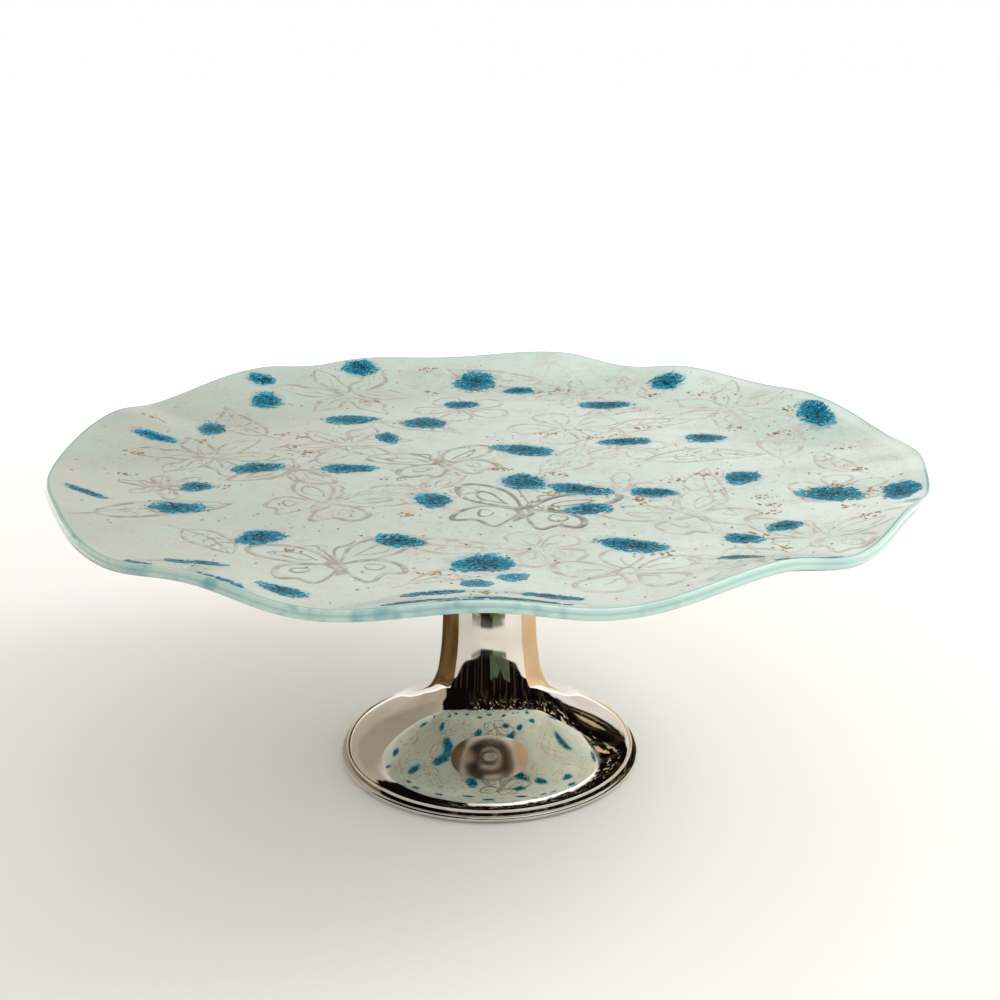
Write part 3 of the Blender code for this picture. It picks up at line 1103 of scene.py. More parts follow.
def butterfly() -> list[Stroke]:
    """Butterfly with open wings, one unit from body to wing tip: smooth loops, and their mirror images.

    Returns:
        The drawing's strokes.
    """
    upper = [(0.02, 0.05), (0.2, 0.5), (0.62, 0.84), (1.0, 0.8), (0.96, 0.48), (0.6, 0.16), (0.03, 0.0)]
    lower = [
        (0.03, -0.02), (0.5, 0.02), (0.78, -0.2), (0.7, -0.52), (0.5, -0.5), (0.34, -0.68), (0.02, -0.14)
    ]
    cell = [(0.24, 0.2), (0.5, 0.5), (0.74, 0.58), (0.62, 0.34), (0.24, 0.2)]
    spot = [(0.36, -0.12), (0.54, -0.16), (0.5, -0.34), (0.34, -0.26), (0.36, -0.12)]
    feeler = [(0.02, 0.3), (0.12, 0.58), (0.3, 0.78)]
    body = [(0.0, 0.32), (0.045, 0.1), (0.03, -0.3), (0.0, -0.42)]
    lines: list[Stroke] = []
    for points, width in ((upper, 1.0), (lower, 1.0), (cell, 0.5), (spot, 0.5), (feeler, 0.5), (body, 1.2)):
        curve = curve_through(np.array(points), 12 * len(points))
        lines += [(curve, width), (curve * [-1, 1], width)]
    return lines


def round_flower() -> list[Stroke]:
    """Five teardrop petals: at t the petal is (1 - cos t)/2 long and sin t times its root wide.

    Returns:
        The drawing's strokes.
    """
    t = np.linspace(0, 2 * pi, 48)
    long = (1 - np.cos(t)) / 2
    petal = np.stack([0.14 + 0.86 * long, 0.42 * np.sin(t) * np.sqrt(long + 1e-9)], axis=1)
    vein = np.stack([np.linspace(0.2, 0.62, 12), 0.03 * np.sin(np.linspace(0, pi, 12))], axis=1)
    lines: list[Stroke] = []
    for k in range(5):
        a = 2 * pi * k / 5
        spin = np.array([[cos(a), sin(a)], [-sin(a), cos(a)]])
        lines += [(petal @ spin, 1.0), (vein @ spin, 0.5)]
    ring = np.stack([0.13 * np.cos(t), 0.13 * np.sin(t)], axis=1)
    return lines + [(ring, 0.8)]


def star_flower() -> list[Stroke]:
    """Six pointed petals: each side swells as the sine of the way out, to the power 0.8.

    Returns:
        The drawing's strokes.
    """
    t = np.linspace(0, 1, 28)
    swell = 0.17 * np.sin(pi * t) ** 0.8
    lines: list[Stroke] = []
    for k in range(6):
        a = 2 * pi * k / 6
        spin = np.array([[cos(a), sin(a)], [-sin(a), cos(a)]])
        reach = 1.0 if k % 2 else 0.86
        for side in (1, -1):
            lines.append((np.stack([0.08 + reach * 0.92 * t, side * swell], axis=1) @ spin, 0.9))
        lines.append((np.stack([0.1 + 0.5 * t, 0.02 * np.sin(3 * t)], axis=1) @ spin, 0.45))
    return lines


def leaf() -> list[Stroke]:
    """Bent leaf: two bowed edges from stalk to tip, a midrib and paired veins.

    Returns:
        The drawing's strokes.
    """
    t = np.linspace(-1, 1, 40)
    spine = np.stack([t, 0.16 * np.cos(pi * t / 2)], axis=1)
    belly = 0.34 * (1 - t**2) ** 0.9 * (1 - 0.25 * t)
    lines: list[Stroke] = [(spine + np.stack([0 * t, s * belly], axis=1), 1.0) for s in (1, -1)]
    lines.append((np.concatenate([[[-1.35, -0.12]], spine]), 0.7))
    for root in (-0.55, -0.2, 0.15, 0.5):
        base = np.array([root, 0.16 * cos(pi * root / 2)])
        for s in (1, -1):
            u = np.linspace(0, 1, 12)[:, None]
            end = base + np.array([0.22, s * 0.24 * (1 - root**2)])
            lines.append((base + (end - base) * u + np.array([0, s * 0.03]) * np.sin(pi * u), 0.4))
    return lines


STROKES = {
    Motif.BUTTERFLY: butterfly,
    Motif.ROUND_FLOWER: round_flower,
    Motif.STAR_FLOWER: star_flower,
    Motif.LEAF: leaf,
}


@dataclass
class LineWork:
    """The drawings: narrow ribbons of silver stain that follow the face of the dish."""

    dish: Dish
    line: float = 1.75  # width of a full stroke
    seed: int = 5
    spacing: float = 37.0
    placed: tuple[Drawing, ...] = (
        Drawing(Motif.BUTTERFLY, 14, -60, 31, -12, 0.8), Drawing(Motif.BUTTERFLY, -19, 2, 26, 20, 0.5),
        Drawing(Motif.BUTTERFLY, -50, -119, 28, 14, 0.35), Drawing(Motif.BUTTERFLY, -61, -52, 27, -28, 0.2),
        Drawing(Motif.ROUND_FLOWER, 47, -128, 25, 20, 0.2), Drawing(Motif.BUTTERFLY, 77, -66, 27, 35, 0.15),
        Drawing(Motif.LEAF, 92, 12, 26, 10, 0.12), Drawing(Motif.BUTTERFLY, 115, -100, 27, -20, 0.15),
        Drawing(Motif.LEAF, -120, -66, 26, 30, 0.18), Drawing(Motif.STAR_FLOWER, -118, 12, 33, 0, 0.1),
        Drawing(Motif.STAR_FLOWER, -62, 32, 33, 15, 0.1), Drawing(Motif.STAR_FLOWER, -70, 118, 36, 5, 0.1),
        Drawing(Motif.LEAF, 2, 150, 27, 160, 0.08), Drawing(Motif.ROUND_FLOWER, 36, 60, 28, 40, 0.08),
        Drawing(Motif.STAR_FLOWER, 112, 88, 34, 20, 0.06),
    )  # fmt: skip

    def layout(self) -> list[Drawing]:
        """The placed drawings, then faint ones on a staggered grid wherever there is still room.

        Returns:
            The drawings, in the order they are laid.
        """
        draw = np.random.default_rng(self.seed)
        found = list(self.placed)
        kinds = [Motif.STAR_FLOWER, Motif.LEAF, Motif.ROUND_FLOWER, Motif.BUTTERFLY, Motif.LEAF]
        step = self.spacing
        rows = np.arange(-5, 6)
        for k, (i, j) in enumerate((i, j) for i in rows for j in rows):
            x = (i + 0.5 * (j % 2)) * step + draw.uniform(-7, 7)
            y = j * step * 0.87 + draw.uniform(-7, 7)
            size, turn = draw.uniform(17, 25), draw.uniform(0, 360)
            room = min(float(np.hypot(d.x - x, d.y - y)) - d.size * 0.8 for d in found)
            if np.hypot(x, y) > self.dish.radius - 20 or room < size * 0.62:
                continue
            found.append(Drawing(kinds[k % len(kinds)], x, y, size, turn, draw.uniform(0.0, 0.12)))
        return found

    def mesh(self, name: str, side: Side) -> bpy.types.Object:
        """Closed ribbons: at each point of a stroke four corners, sunk outside and proud inside.

        A stroke's width swells from 0.55 to 1.35 of its line as the square of a sine along it.

        Args:
            name: the piece's name.
            side: which face of the dish.

        Returns:
            The piece, with the strength of each drawing stored.
        """
        points: list[Array] = []
        faces: list[Array] = []
        strengths: list[Array] = []
        total = 0
        draw = np.random.default_rng(self.seed + side.value + 1)
        for drawing in self.layout():
            lift = draw.uniform(0.015, 0.06)
            a = radians(drawing.turn)
            spin = np.array([[cos(a), sin(a)], [-sin(a), cos(a)]]) * drawing.size
            for stroke, weight in STROKES[drawing.motif]():
                # No two strokes lie at one height, so that crossing ones don't share a face
                lift += 0.0015
                t = np.linspace(0, 1, len(stroke))[:, None]
                shake = np.sin(2 * pi * t * draw.uniform(0.6, 2.2, 2) + draw.random(2) * 6)
                path = stroke @ spin + [drawing.x, drawing.y] + shake * drawing.size * 0.035
                path = path[np.hypot(path[:, 0], path[:, 1]) < self.dish.radius - 3]
                if len(path) < 3:
                    continue
                along = np.gradient(path, axis=0)
                along /= np.linalg.norm(along, axis=1, keepdims=True) + 1e-12
                across = np.stack([-along[:, 1], along[:, 0]], axis=1)
                swell = 0.5 + 0.8 * np.sin(np.linspace(0.15, 0.9, len(path)) * pi) ** 2
                swell *= draw.uniform(0.7, 1.3) * (1 + 0.5 * drawing.strength)
                half = (self.line * weight * swell / 2)[:, None] * across
                corners = [
                    (path + half, -0.06), (path + half * 0.8, lift),
                    (path - half * 0.8, lift), (path - half, -0.06),
                ]  # fmt: skip
                ribbon = np.stack(
                    [self.dish.surface(p[:, 0], p[:, 1], side, h) for p, h in corners], axis=1
                )
                count = len(path)
                body = grid_faces(count, 4, False, True)
                ends = np.array(
                    [[0, 1, 2, 3], [4 * count - 1, 4 * count - 2, 4 * count - 3, 4 * count - 4]]
                )
                quads = np.concatenate([body, ends]) + total
                faces.append(quads if side is Side.TOP else quads[:, ::-1])
                points.append(ribbon.reshape(-1, 3))
                strengths.append(np.full(4 * count, drawing.strength))
                total += 4 * count
        obj = make_object(name, np.concatenate(points), np.concatenate(faces).tolist(), 80)
        attach(obj, "strength", np.concatenate(strengths))
        return obj


@dataclass
class GlassTop:
    """The glass of the moving top: the dish and what is fused in it."""

    dish: Dish = field(default_factory=Dish)
    body: str = "dish"
    slot: str = "fused_glass"
    mica_seed: int = 3

    def mica(self) -> bpy.types.Object:
        """Gold flakes: loose ones all over the dish, and small clusters, mostly near heaps of frit.

        Returns:
            The mesh of all flakes.
        """
        draw = np.random.default_rng(self.mica_seed)
        r = self.dish.radius * np.sqrt(draw.random(420)) * 0.97
        a = draw.random(420) * 2 * pi
        loose = np.stack([r * np.cos(a), r * np.sin(a)], axis=1)
        size = draw.uniform(0.3, 0.7, 420)
        r = self.dish.radius * np.sqrt(draw.random(52)) * 0.93
        a = draw.random(52) * 2 * pi
        hubs = np.stack([r * np.cos(a), r * np.sin(a)], axis=1)
        throw = draw.normal(size=(52, 12, 2)) * [2.8, 1.6]
        heaped = (hubs[:, None] + throw).reshape(-1, 2)
        where = np.concatenate([loose, heaped])
        size = cat(size, draw.uniform(0.35, 0.95, len(heaped)))
        keep = np.hypot(where[:, 0], where[:, 1]) < self.dish.radius - 4
        where, size = where[keep], size[keep]
        return flakes("mica_flakes", self.dish, Side.TOP, where[:, 0], where[:, 1], size, 4, 21)

    def build(self) -> None:
        """Builds and dresses the glass and everything fused in it."""
        frit = FritScatter(self.dish)
        obj = self.dish.mesh(frit.patches)
        dress(obj, FusedGlass("fire-polished fused glass").material(), self.body, self.slot, "glass_plate")
        x, y, size, depth = frit.strew()
        blue = BlueFrit("blue glass frit").material()
        for name, side, keep in (("blue_frit", Side.TOP, 1), ("blue_frit_underside", Side.UNDER, 2)):
            some = slice(None, None, keep)
            grown = size[some] * (1.0 if keep == 1 else 1.3)
            heap = flakes(name, self.dish, side, x[some], y[some], grown, frit.corners, frit.seed)
            attach(heap, "depth", np.repeat(depth[some], frit.corners + 2))
            dress(heap, blue, self.body, self.slot)
        silver = DrawnSilver("fired silver stain").material()
        lines = LineWork(self.dish)
        dress(lines.mesh("silver_drawings", Side.TOP), silver, self.body, self.slot)
        dress(lines.mesh("silver_drawings_underside", Side.UNDER), silver, self.body, self.slot)
        dress(self.mica(), MicaFlake("copper-gold mica").material(), self.body, self.slot)


# ----------------------------------------------------------------------------------------------------
# Pedestal
# ----------------------------------------------------------------------------------------------------
@dataclass
class Pedestal:
    """The spun pedestal, its bead, cap, base and fasteners."""

    body: str = "pedestal"
    sheet: float = 1.2
    outline: tuple[tuple[float, float], ...] = (
        (19.6, 116.8), (20.1, 62.0), (20.9, 51.0), (21.9, 43.5), (23.0, 38.0), (24.5, 33.8),
        (26.5, 30.1), (29.7, 26.5), (34.2, 23.0), (39.8, 19.8), (46.0, 16.9), (51.5, 14.2),
        (56.0, 11.7), (59.4, 9.4), (61.7, 7.0), (62.7, 4.8), (62.7, 3.5),
    )  # fmt: skip
    bead_radius: float = 65.0
    bead_inner: float = 58.5
    bore: float = 5.35
    thread_pitch: float = 1.5
    thread_depth: float = 0.9

    def shell(self) -> bpy.types.Object:
        """Spun shell: the outline as a smooth curve, and the same curve moved inward by the sheet.

        Returns:
            The mesh.
        """
        outer = curve_through(np.array(self.outline), 220)
        along = np.gradient(outer, axis=0)
        along /= np.linalg.norm(along, axis=1, keepdims=True)
        inner = outer + np.stack([along[:, 1], -along[:, 0]], axis=1) * self.sheet
        inner[:, 1] = np.clip(inner[:, 1], outer[-1, 1], outer[0, 1])
        return lathe("polished_pedestal", np.concatenate([outer, inner[::-3]]), True, 240, 50)

    def bead(self) -> bpy.types.Object:
        """Rolled bead round the foot: half a circle outside, a flat shelf inside.

        Returns:
            The mesh.
        """
        low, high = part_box("foot_ring")
        bottom, top = low[2] / MM, high[2] / MM
        r = (top - bottom) / 2
        a = np.radians(np.linspace(90, -90, 19))
        arc = np.stack([self.bead_radius - r + r * np.cos(a), bottom + r + r * np.sin(a)], axis=1)
        shelf = [(self.bead_inner, bottom), (self.bead_inner, top)]
        return lathe("foot_bead", np.concatenate([arc, shelf]), True, 240, 50)

    def disc(self) -> bpy.types.Object:
        """Polished disc that carries the dish: flat faces, round edges and a stub boss.

        Returns:
            The mesh.
        """
        low, high = (np.array(corner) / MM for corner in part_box("plate_disc"))
        edge, boss, bore = float(high[0]), 10.0, 5.35
        under = float(high[2]) - 3.0
        bottom = float(low[2])
        corners = [
            (0.0, high[2]), (edge, high[2]), (edge, under), (boss, under), (boss, bottom),
            (bore, bottom), (bore, under - 1.0), (0.0, under - 1.0),
        ]  # fmt: skip
        return lathe("polished_disc", rounded(corners, 0.7, False), False, 160, 50)

    def rod(self) -> bpy.types.Object:
        """Rod with a real thread and chamfered ends.

        At height z and angle a the surface sinks from the crest by thread_depth times |2p - 1|, where p is
        the fraction of a turn in z / thread_pitch - a / 2 pi.

        Returns:
            The mesh.
        """
        low, high = (np.array(corner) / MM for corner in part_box("tie_rod"))
        crest, bottom, top = float(high[0]), float(low[2]), float(high[2])
        z = np.linspace(top, bottom, int((top - bottom) / 0.1875))[:, None]
        angle = np.linspace(0, 2 * pi, 32, endpoint=False)
        turn = (z / self.thread_pitch - angle / (2 * pi)) % 1
        radius = crest - self.thread_depth * np.abs(2 * turn - 1)
        radius = np.minimum(radius, crest - 1.2 + np.minimum(top - z, z - bottom))
        grid = np.stack([radius * np.cos(angle), radius * np.sin(angle), z + 0 * radius], axis=-1)
        rows, columns = radius.shape
        hubs = [[0, 0, top], [0, 0, bottom]]
        faces = grid_faces(rows, columns, False, True).tolist() + end_faces(rows, columns)
        return make_object("threaded_rod", cat(grid.reshape(-1, 3), hubs), faces, 50)

    def cap(self) -> bpy.types.Object:
        """Turned cap of the neck: flange, spigot inside the shell, and a counterbore for the boss.

        Returns:
            The mesh.
        """
        low, high = (np.array(corner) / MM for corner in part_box("stem_cap"))
        bottom, top, flange = float(low[2]), float(high[2]), float(high[0])
        spigot = self.outline[0][0] - self.sheet - 0.3
        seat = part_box("plate_disc")[0][2] / MM - 1.7
        corners = [
            (flange, top), (flange, top - 3.0), (spigot, top - 3.0), (spigot, bottom),
            (self.bore, bottom), (self.bore, seat), (10.7, seat), (10.7, top),
        ]  # fmt: skip
        return lathe("turned_cap", rounded(corners, 0.5, True), True, 160, 50)

    def washer(self) -> bpy.types.Object:
        """Flat nylon washer with softened edges.

        Returns:
            The mesh.
        """
        low, high = (np.array(corner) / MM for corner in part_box("seat_washer"))
        edge, bottom, top = float(high[0]), float(low[2]), float(high[2])
        corners = [(edge, top), (edge, bottom), (10.6, bottom), (10.6, top)]
        return lathe("nylon_washer", rounded(corners, 0.3, True), True, 128, 50)

    def cover(self) -> bpy.types.Object:
        """Pressed base cover: a flat disc whose middle is raised over the nut, with pressed bends.

        Returns:
            The mesh.
        """
        low, high = (np.array(corner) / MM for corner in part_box("base_cover"))
        edge, bottom, top = float(high[0]), float(low[2]), float(high[2])
        wall = self.sheet
        corners = [
            (17.5, top), (19.0, top - 1.5), (19.0, bottom + wall + 1.0), (20.0, bottom + wall),
            (edge, bottom + wall), (edge, bottom), (18.5, bottom), (17.5, bottom + 1.0),
            (17.5, top - wall - 0.6), (16.9, top - wall), (self.bore, top - wall), (self.bore, top),
        ]  # fmt: skip
        return lathe("pressed_cover", rounded(corners, 0.5, True), True, 200, 50)

    def build(self, made: dict[str, bpy.types.Material]) -> None:
        """Builds the turned pieces and the rod.

        Args:
            made: the material of each record slot.
        """
        nickel = MirrorNickel("bright nickel, buffed").material()
        satin = MirrorNickel("bright nickel over a satin disc", low=0.12, high=0.2).material()
        dress(self.disc(), satin, "dish", "mirror_nickel", "plate_disc")
        dress(self.shell(), nickel, self.body, "mirror_nickel", "pedestal_shell")
        dress(self.bead(), nickel, self.body, "mirror_nickel", "foot_ring")
        dress(self.cap(), nickel, self.body, "mirror_nickel", "stem_cap")
        dress(self.washer(), made["clear_nylon"], "seat", "clear_nylon", "seat_washer")
        dress(self.cover(), made["zinc_plate"], self.body, "zinc_plate", "base_cover")
        dress(self.rod(), made["zinc_plate"], self.body, "zinc_plate", "tie_rod")


# ----------------------------------------------------------------------------------------------------
# Studio
# ----------------------------------------------------------------------------------------------------
@dataclass
class Studio:
    """Pale floor, soft light and the camera."""

    floor_radius: float = 12.0
    distance: float = 0.567
    height: float = 0.2957
    across: float = 0.0046
    pitch: float = 17.65
    focal_share: float = 1.425  # focal length over the picture's width
    backdrop: str = "#FFFFFF"
    floor_tint: str = "#FAF6F2"
    fill_tint: str = "#F6F4F1"
    chink_warm: str = "#E8C7A4"
    chink_green: str = "#8FA27C"
    wall_left: str = "#B5A999"
    wall_right: str = "#F2EEE8"
    wall_behind: str = "#A29A8C"
    ceiling_left: str = "#D8D5CF"
    dark: str = "#0B0908"
    brown: str = "#3A2C20"
    window: tuple[float, ...] = (1.7, 1.7, 1.68, 1.0)  # brighter than white
    card_base: float = 2.3  # height of the lowest card above the table
    card_step: float = 0.1
    fill: float = 1.0

    def camera(self) -> None:
        """Camera in front of the stand, looking along +Y and down by pitch degrees."""
        data = bpy.data.cameras.new("camera")
        data.sensor_width = 36.0
        data.lens = self.focal_share * data.sensor_width
        data.clip_start, data.clip_end = 0.01, 100.0
        obj = bpy.data.objects.new("camera", data)
        obj.location = (self.across, -self.distance, self.height)
        obj.rotation_euler = (radians(90 - self.pitch), 0, 0)
        bpy.context.scene.collection.objects.link(obj)
        bpy.context.scene.camera = obj

    def floor(self) -> None:
        """Wide pale floor."""
        bpy.ops.mesh.primitive_circle_add(vertices=96, radius=self.floor_radius, fill_type="NGON")
        obj = bpy.context.object
        obj.name = "floor"
        material = bpy.data.materials.new("pale floor")
        material.use_nodes = True
        tree = material.node_tree
        add = partial(add_node, tree)
        # Far from the stand the floor glows a little, so that it meets the white backdrop
        spot = add("TexCoord", None, "Object")
        far = add("VectorMath", {0: spot}, "Value", operation="LENGTH")
        glow = add(
            "Math", {0: add("MapRange", {0: far, 1: 0.34, 2: 1.1}, **EASE), 1: 0.4}, operation="MULTIPLY"
        )
        feed(
            tree.nodes["Principled BSDF"],
            {
                "Base Color": linear(self.floor_tint), "Emission Color": (1, 1, 1, 1),
                "Emission Strength": glow, "Roughness": 0.7, "Specular IOR Level": 0.2,
            },
        )
        obj.data.materials.append(material)

    def card(self, name: str, outline: Array, colour: str, stripe: str, layer: int) -> None:
        """Cloth that lies on the floor, where only the polished metal mirrors it.

        Args:
            name: the card's name.
            outline: its corners as x and y in metres, anticlockwise.
            colour: its main colour.
            stripe: colour of its folds.
            layer: its place in the pile, from the lowest; the folds of layer 0 run straight away from the
                stand.
        """
        points = np.insert(outline / MM, 2, self.card_base + self.card_step * layer, axis=1)
        obj = make_object(name, points, [list(range(len(points)))], 30)
        material = bpy.data.materials.new(name)
        material.use_nodes = True
        tree = material.node_tree
        add = partial(add_node, tree)
        spot = add("TexCoord", None, "Object")
        folds = soft_patches(tree, spot, 90, 4, (0.45, 0.62))
        if layer == 0:
            x, y = (add("SeparateXYZ", {0: spot}, axis) for axis in "XY")
            around = add(
                "Math", {0: x, 1: add("Math", {0: y, 1: -1.0}, operation="MULTIPLY")}, operation="ARCTAN2"
            )
            turned = add("CombineXYZ", {0: add("Math", {0: around, 1: 3.0}, operation="MULTIPLY")})
            bars = add("TexNoise", {"Vector": turned, "Scale": 3.0, "Detail": 4.0})
            folds = add("MapRange", {0: bars, 1: 0.50, 2: 0.60}, **EASE)
        mixed = add("Mix", {0: folds, 6: linear(colour), 7: linear(stripe)}, 2, **TINTS)
        shader = tree.nodes["Principled BSDF"]
        feed(shader, {"Base Color": mixed, "Roughness": 0.9, "Specular IOR Level": 0.0})
        obj.data.materials.append(material)
        obj.visible_camera = obj.visible_diffuse = obj.visible_shadow = False

    def cards(self) -> None:
        """Dark cloth beyond the curved front edge of the table, and tan cloths at both sides."""

        def ring(
            low: float, high: float, near: float, far: float, sag: float = 0.0, wavy: float = 0.0
        ) -> Array:
            """Sector round the stand, whose near edge sags back and whose far edge is wavy.

            Args:
                low, high: its ends, in degrees from the front.
                near, far: radii of its edges in metres.
                sag: how far the near edge is set back at 80 degrees.
                wavy: share of the far radius that its waves take.

            Returns:
                Its outline in metres.
            """
            a = np.radians(np.linspace(low, high, 41))
            out = np.stack([np.sin(a), -np.cos(a)], axis=1)
            close = near + sag * (np.degrees(a) / 80) ** 2
            away = far * (1 + wavy * np.sin(11 * a) + 0.5 * wavy * np.sin(27 * a))
            return np.concatenate([away[:, None] * out, (close[:, None] * out)[::-1]])

        def block(x0: float, y0: float, x1: float, y1: float) -> Array:
            """Upright rectangle between two corners, in metres."""
            return np.array([(x0, y0), (x1, y0), (x1, y1), (x0, y1)])

        cloths = (
            ("front_cloth", ring(-86, 90, 0.2224, self.floor_radius, 0.024), self.dark, self.brown),
            ("green_cushion", ring(2, 44, 0.2226, 0.33, 0.03, 0.1), "#4E5F40", "#4A5049"),
            ("left_cloth", block(-1.6, -0.05, -0.072, 0.16), "#654C2E", "#846745"),
            ("right_cloth", block(0.072, -0.03, 1.6, 0.2), "#E2C29C", "#ECD0AC"),
            ("grey_block", ring(-40, -19, 0.2145, 0.222), "#8A8474", "#9C9686"),
            ("dark_block", ring(-19, 8, 0.213, 0.2225), "#1D1913", "#2F281E"),
            ("green_block", ring(8, 38, 0.213, 0.2225), "#5C6F4B", "#6D7F58"),
        )
        for layer, (name, outline, colour, stripe) in enumerate(cloths):
            self.card(name, outline, colour, stripe, layer)

    def room(self) -> None:
        """Room light: white all round, with a dim, cluttered stretch low in front that metal mirrors.

        The camera itself sees only the plain backdrop.
        """
        world = bpy.data.worlds.new("room")
        bpy.context.scene.world = world
        world.use_nodes = True
        tree = world.node_tree
        tree.nodes.clear()
        add = partial(add_node, tree)
        way = add("TexCoord", None, "Generated")
        x, y, z = (add("SeparateXYZ", {0: way}, axis) for axis in "XYZ")
        # Direction round the stand: 0 in front, positive to the right
        around = add(
            "Math", {0: x, 1: add("Math", {0: y, 1: -1.0}, operation="MULTIPLY")}, operation="ARCTAN2"
        )
        clutter = add("TexNoise", {"Vector": way, "Scale": 6.0, "Detail": 5.0})
        rough = add("Math", {0: clutter, 1: 0.5}, operation="SUBTRACT")
        edge = add("Math", {0: rough, 1: 0.5, 2: around}, operation="MULTIPLY_ADD")
        # The dark reaches higher on the left; on the right it leans back as it rises
        leftward = add("MapRange", {0: around, 1: -0.25, 2: -0.45}, **EASE)
        rise = add("Math", {0: rough, 1: 0.35, 2: z}, operation="MULTIPLY_ADD")
        top = add("Math", {0: leftward, 1: -0.22, 2: rise}, operation="MULTIPLY_ADD")
        lean = add("Math", {0: z, 1: -1.6, 2: edge}, operation="MULTIPLY_ADD")
        left_end = add("MapRange", {0: edge, 1: -1.70, 2: -1.60}, **EASE)
        right_end = add("MapRange", {0: lean, 1: 2.40, 2: 2.25}, **EASE)
        roof = add("MapRange", {0: top, 1: 0.64, 2: 0.56}, **EASE)
        dim = add("Math", {0: left_end, 1: right_end}, operation="MULTIPLY")
        dim = add("Math", {0: dim, 1: roof}, operation="MULTIPLY")
        # Upright stripes of brown in the dark, and bright chinks higher up
        wide = add("Math", {0: around, 1: 3.0}, operation="MULTIPLY")
        tall = add("Math", {0: z, 1: 0.8}, operation="MULTIPLY")
        flat = add("CombineXYZ", {0: wide, 1: tall})
        bars = add("TexNoise", {"Vector": flat, "Scale": 3.0, "Detail": 4.0})
        browned = add(
            "Math",
            {
                0: add("MapRange", {0: bars, 1: 0.50, 2: 0.60}, **EASE),
                1: add("MapRange", {0: around, 1: -0.9, 2: -0.4}, **EASE),
            },
            operation="MULTIPLY",
        )
        dark = add("Mix", {0: browned, 6: linear(self.dark), 7: linear(self.brown)}, 2, **TINTS)
        chinks = add("TexNoise", {"Vector": way, "Scale": 13.0, "Detail": 3.0})
        high = add("MapRange", {0: z, 1: 0.22, 2: 0.42}, **EASE)
        glow = add(
            "Math",
            {0: add("MapRange", {0: chinks, 1: 0.58, 2: 0.62}, **EASE), 1: high},
            operation="MULTIPLY",
        )
        glow = add(
            "Math",
            {0: glow, 1: add("MapRange", {0: around, 1: -0.7, 2: -0.4}, **EASE)},
            operation="MULTIPLY",
        )
        hue = add(
            "Mix",
            {
                0: add("MapRange", {0: bars, 1: 0.42, 2: 0.56}, **EASE),
                6: linear(self.chink_warm),
                7: linear(self.chink_green),
            },
            2,
            **TINTS,
        )
        dark = add("Mix", {0: glow, 6: dark, 7: hue}, 2, **TINTS)
        # Walls: grey to the left, dimmer behind above the table, white overhead
        wall = add(
            "Mix",
            {
                0: add("MapRange", {0: x, 1: -0.7, 2: 0.6}, **EASE),
                6: linear(self.wall_left),
                7: linear(self.wall_right),
            },
            2,
            **TINTS,
        )
        behind = add(
            "Math",
            {
                0: add("MapRange", {0: y, 1: 0.1, 2: 0.5}, **EASE),
                1: add("MapRange", {0: z, 1: 0.22, 2: 0.36}, **EASE),
            },
            operation="MULTIPLY",
        )
        wall = add("Mix", {0: behind, 6: wall, 7: linear(self.wall_behind)}, 2, **TINTS)
        ceiling = add(
            "Mix",
            {
                0: add("MapRange", {0: x, 1: -0.6, 2: 0.5}, **EASE),
                6: linear(self.ceiling_left),
                7: self.window,
            },
            2,
            **TINTS,
        )
        overhead = add(
            "Math",
            {
                0: add("MapRange", {0: z, 1: 0.54, 2: 0.66}, **EASE),
                1: add("MapRange", {0: y, 1: 0.6, 2: 0.2}, **EASE),
            },
            operation="MULTIPLY",
        )
        wall = add("Mix", {0: overhead, 6: wall, 7: ceiling}, 2, **TINTS)
        mirrored = add("Mix", {0: dim, 6: wall, 7: dark}, 2, **TINTS)
        mirror = add("LightPath", None, "Is Glossy Ray")
        seen = add("LightPath", None, "Is Camera Ray")
        plain = add("Background", {0: linear(self.backdrop), 1: 1.0})
        soft = add("Background", {0: linear(self.fill_tint), 1: self.fill})
        room = add("Background", {0: mirrored, 1: 1.0})
        lit = add("MixShader", {0: mirror, 1: soft, 2: room})
        both = add("MixShader", {0: seen, 1: lit, 2: plain})
        add("OutputWorld", {0: both})

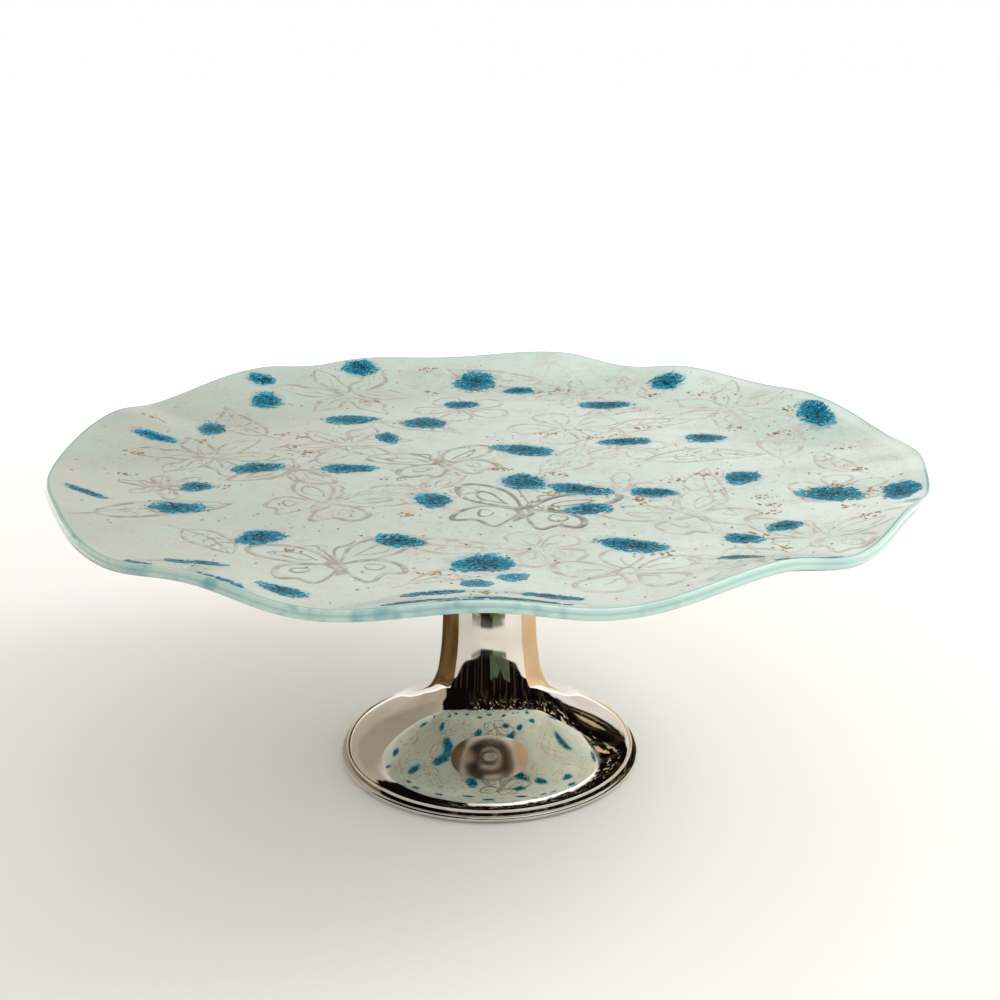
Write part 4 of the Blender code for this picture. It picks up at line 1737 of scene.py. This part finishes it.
    def lamp(self, name: str, place: tuple[float, float, float], size: float, power: float) -> None:
        """Square soft lamp at place, aimed at the dish.

        Args:
            name: name of the lamp.
            place: where it stands, in metres.
            size: its side in metres.
            power: its power in watts.
        """
        data = bpy.data.lights.new(name, "AREA")
        data.size, data.energy = size, power
        obj = bpy.data.objects.new(name, data)
        obj.location = place
        x, y, z = place[0], place[1], place[2] - 0.1
        obj.rotation_euler = (atan(np.hypot(x, y) / z), 0, float(np.arctan2(y, x)) + pi / 2)
        obj.visible_glossy = False
        bpy.context.scene.collection.objects.link(obj)

    def build(self) -> None:
        """Sets up the whole studio."""
        self.camera()
        self.floor()
        self.room()
        self.cards()
        self.lamp("key_lamp", (1.3, 0.15, 1.2), 0.9, 12.0)
        bpy.context.scene.view_settings.view_transform = "Standard"


# ----------------------------------------------------------------------------------------------------
# Assembly
# ----------------------------------------------------------------------------------------------------
def dress_nodes() -> dict[str, bpy.types.Material]:
    """Gives the CAD nodes that stay their materials.

    Returns:
        The material of each record slot.
    """
    looks = {
        "zinc_plate": TurnedMetal("zinc-plated steel", "#B4B7B8", "#9DA19C", 0.28, 0.45, 1.0),
        "cast_iron": Moulded("raw cast iron", "#2B2A29", "#3A3531", 0.75, 0.6, 1.4, 0.12),
        "clear_nylon": Moulded("natural nylon", "#CFCEC4", "#BDBBB0", 0.4),
        "clear_adhesive": Moulded("cured clear adhesive", "#D8DAD2", "#C6CAC1", 0.2, 0.0, 2.0, 0.05),
        "clear_rubber": Moulded("clear bumper rubber", "#AEADA5", "#989790", 0.55),
        "mirror_nickel": MirrorNickel("bright nickel on small parts"),
    }
    made = {slot: look.material() for slot, look in looks.items()}
    for part in frame["record"]["subparts"]:
        node, slot = part["node"], part["material_slot"]
        if slot in made:
            mesh = frame["nodes"][node].data
            for i in range(max(1, len(mesh.materials))):
                if len(mesh.materials) <= i:
                    mesh.materials.append(made[slot])
                mesh.materials[i] = made[slot]
            LOG.info("%s: CAD node in %s", node, made[slot].name)
    return made


def main() -> None:
    """Builds the studio, dresses the CAD nodes and adds the fine pieces."""
    logging.basicConfig(level=logging.INFO, format="%(message)s")
    Studio().build()
    made = dress_nodes()
    GlassTop().build()
    Pedestal().build(made)


if __name__ == "__main__":
    main()
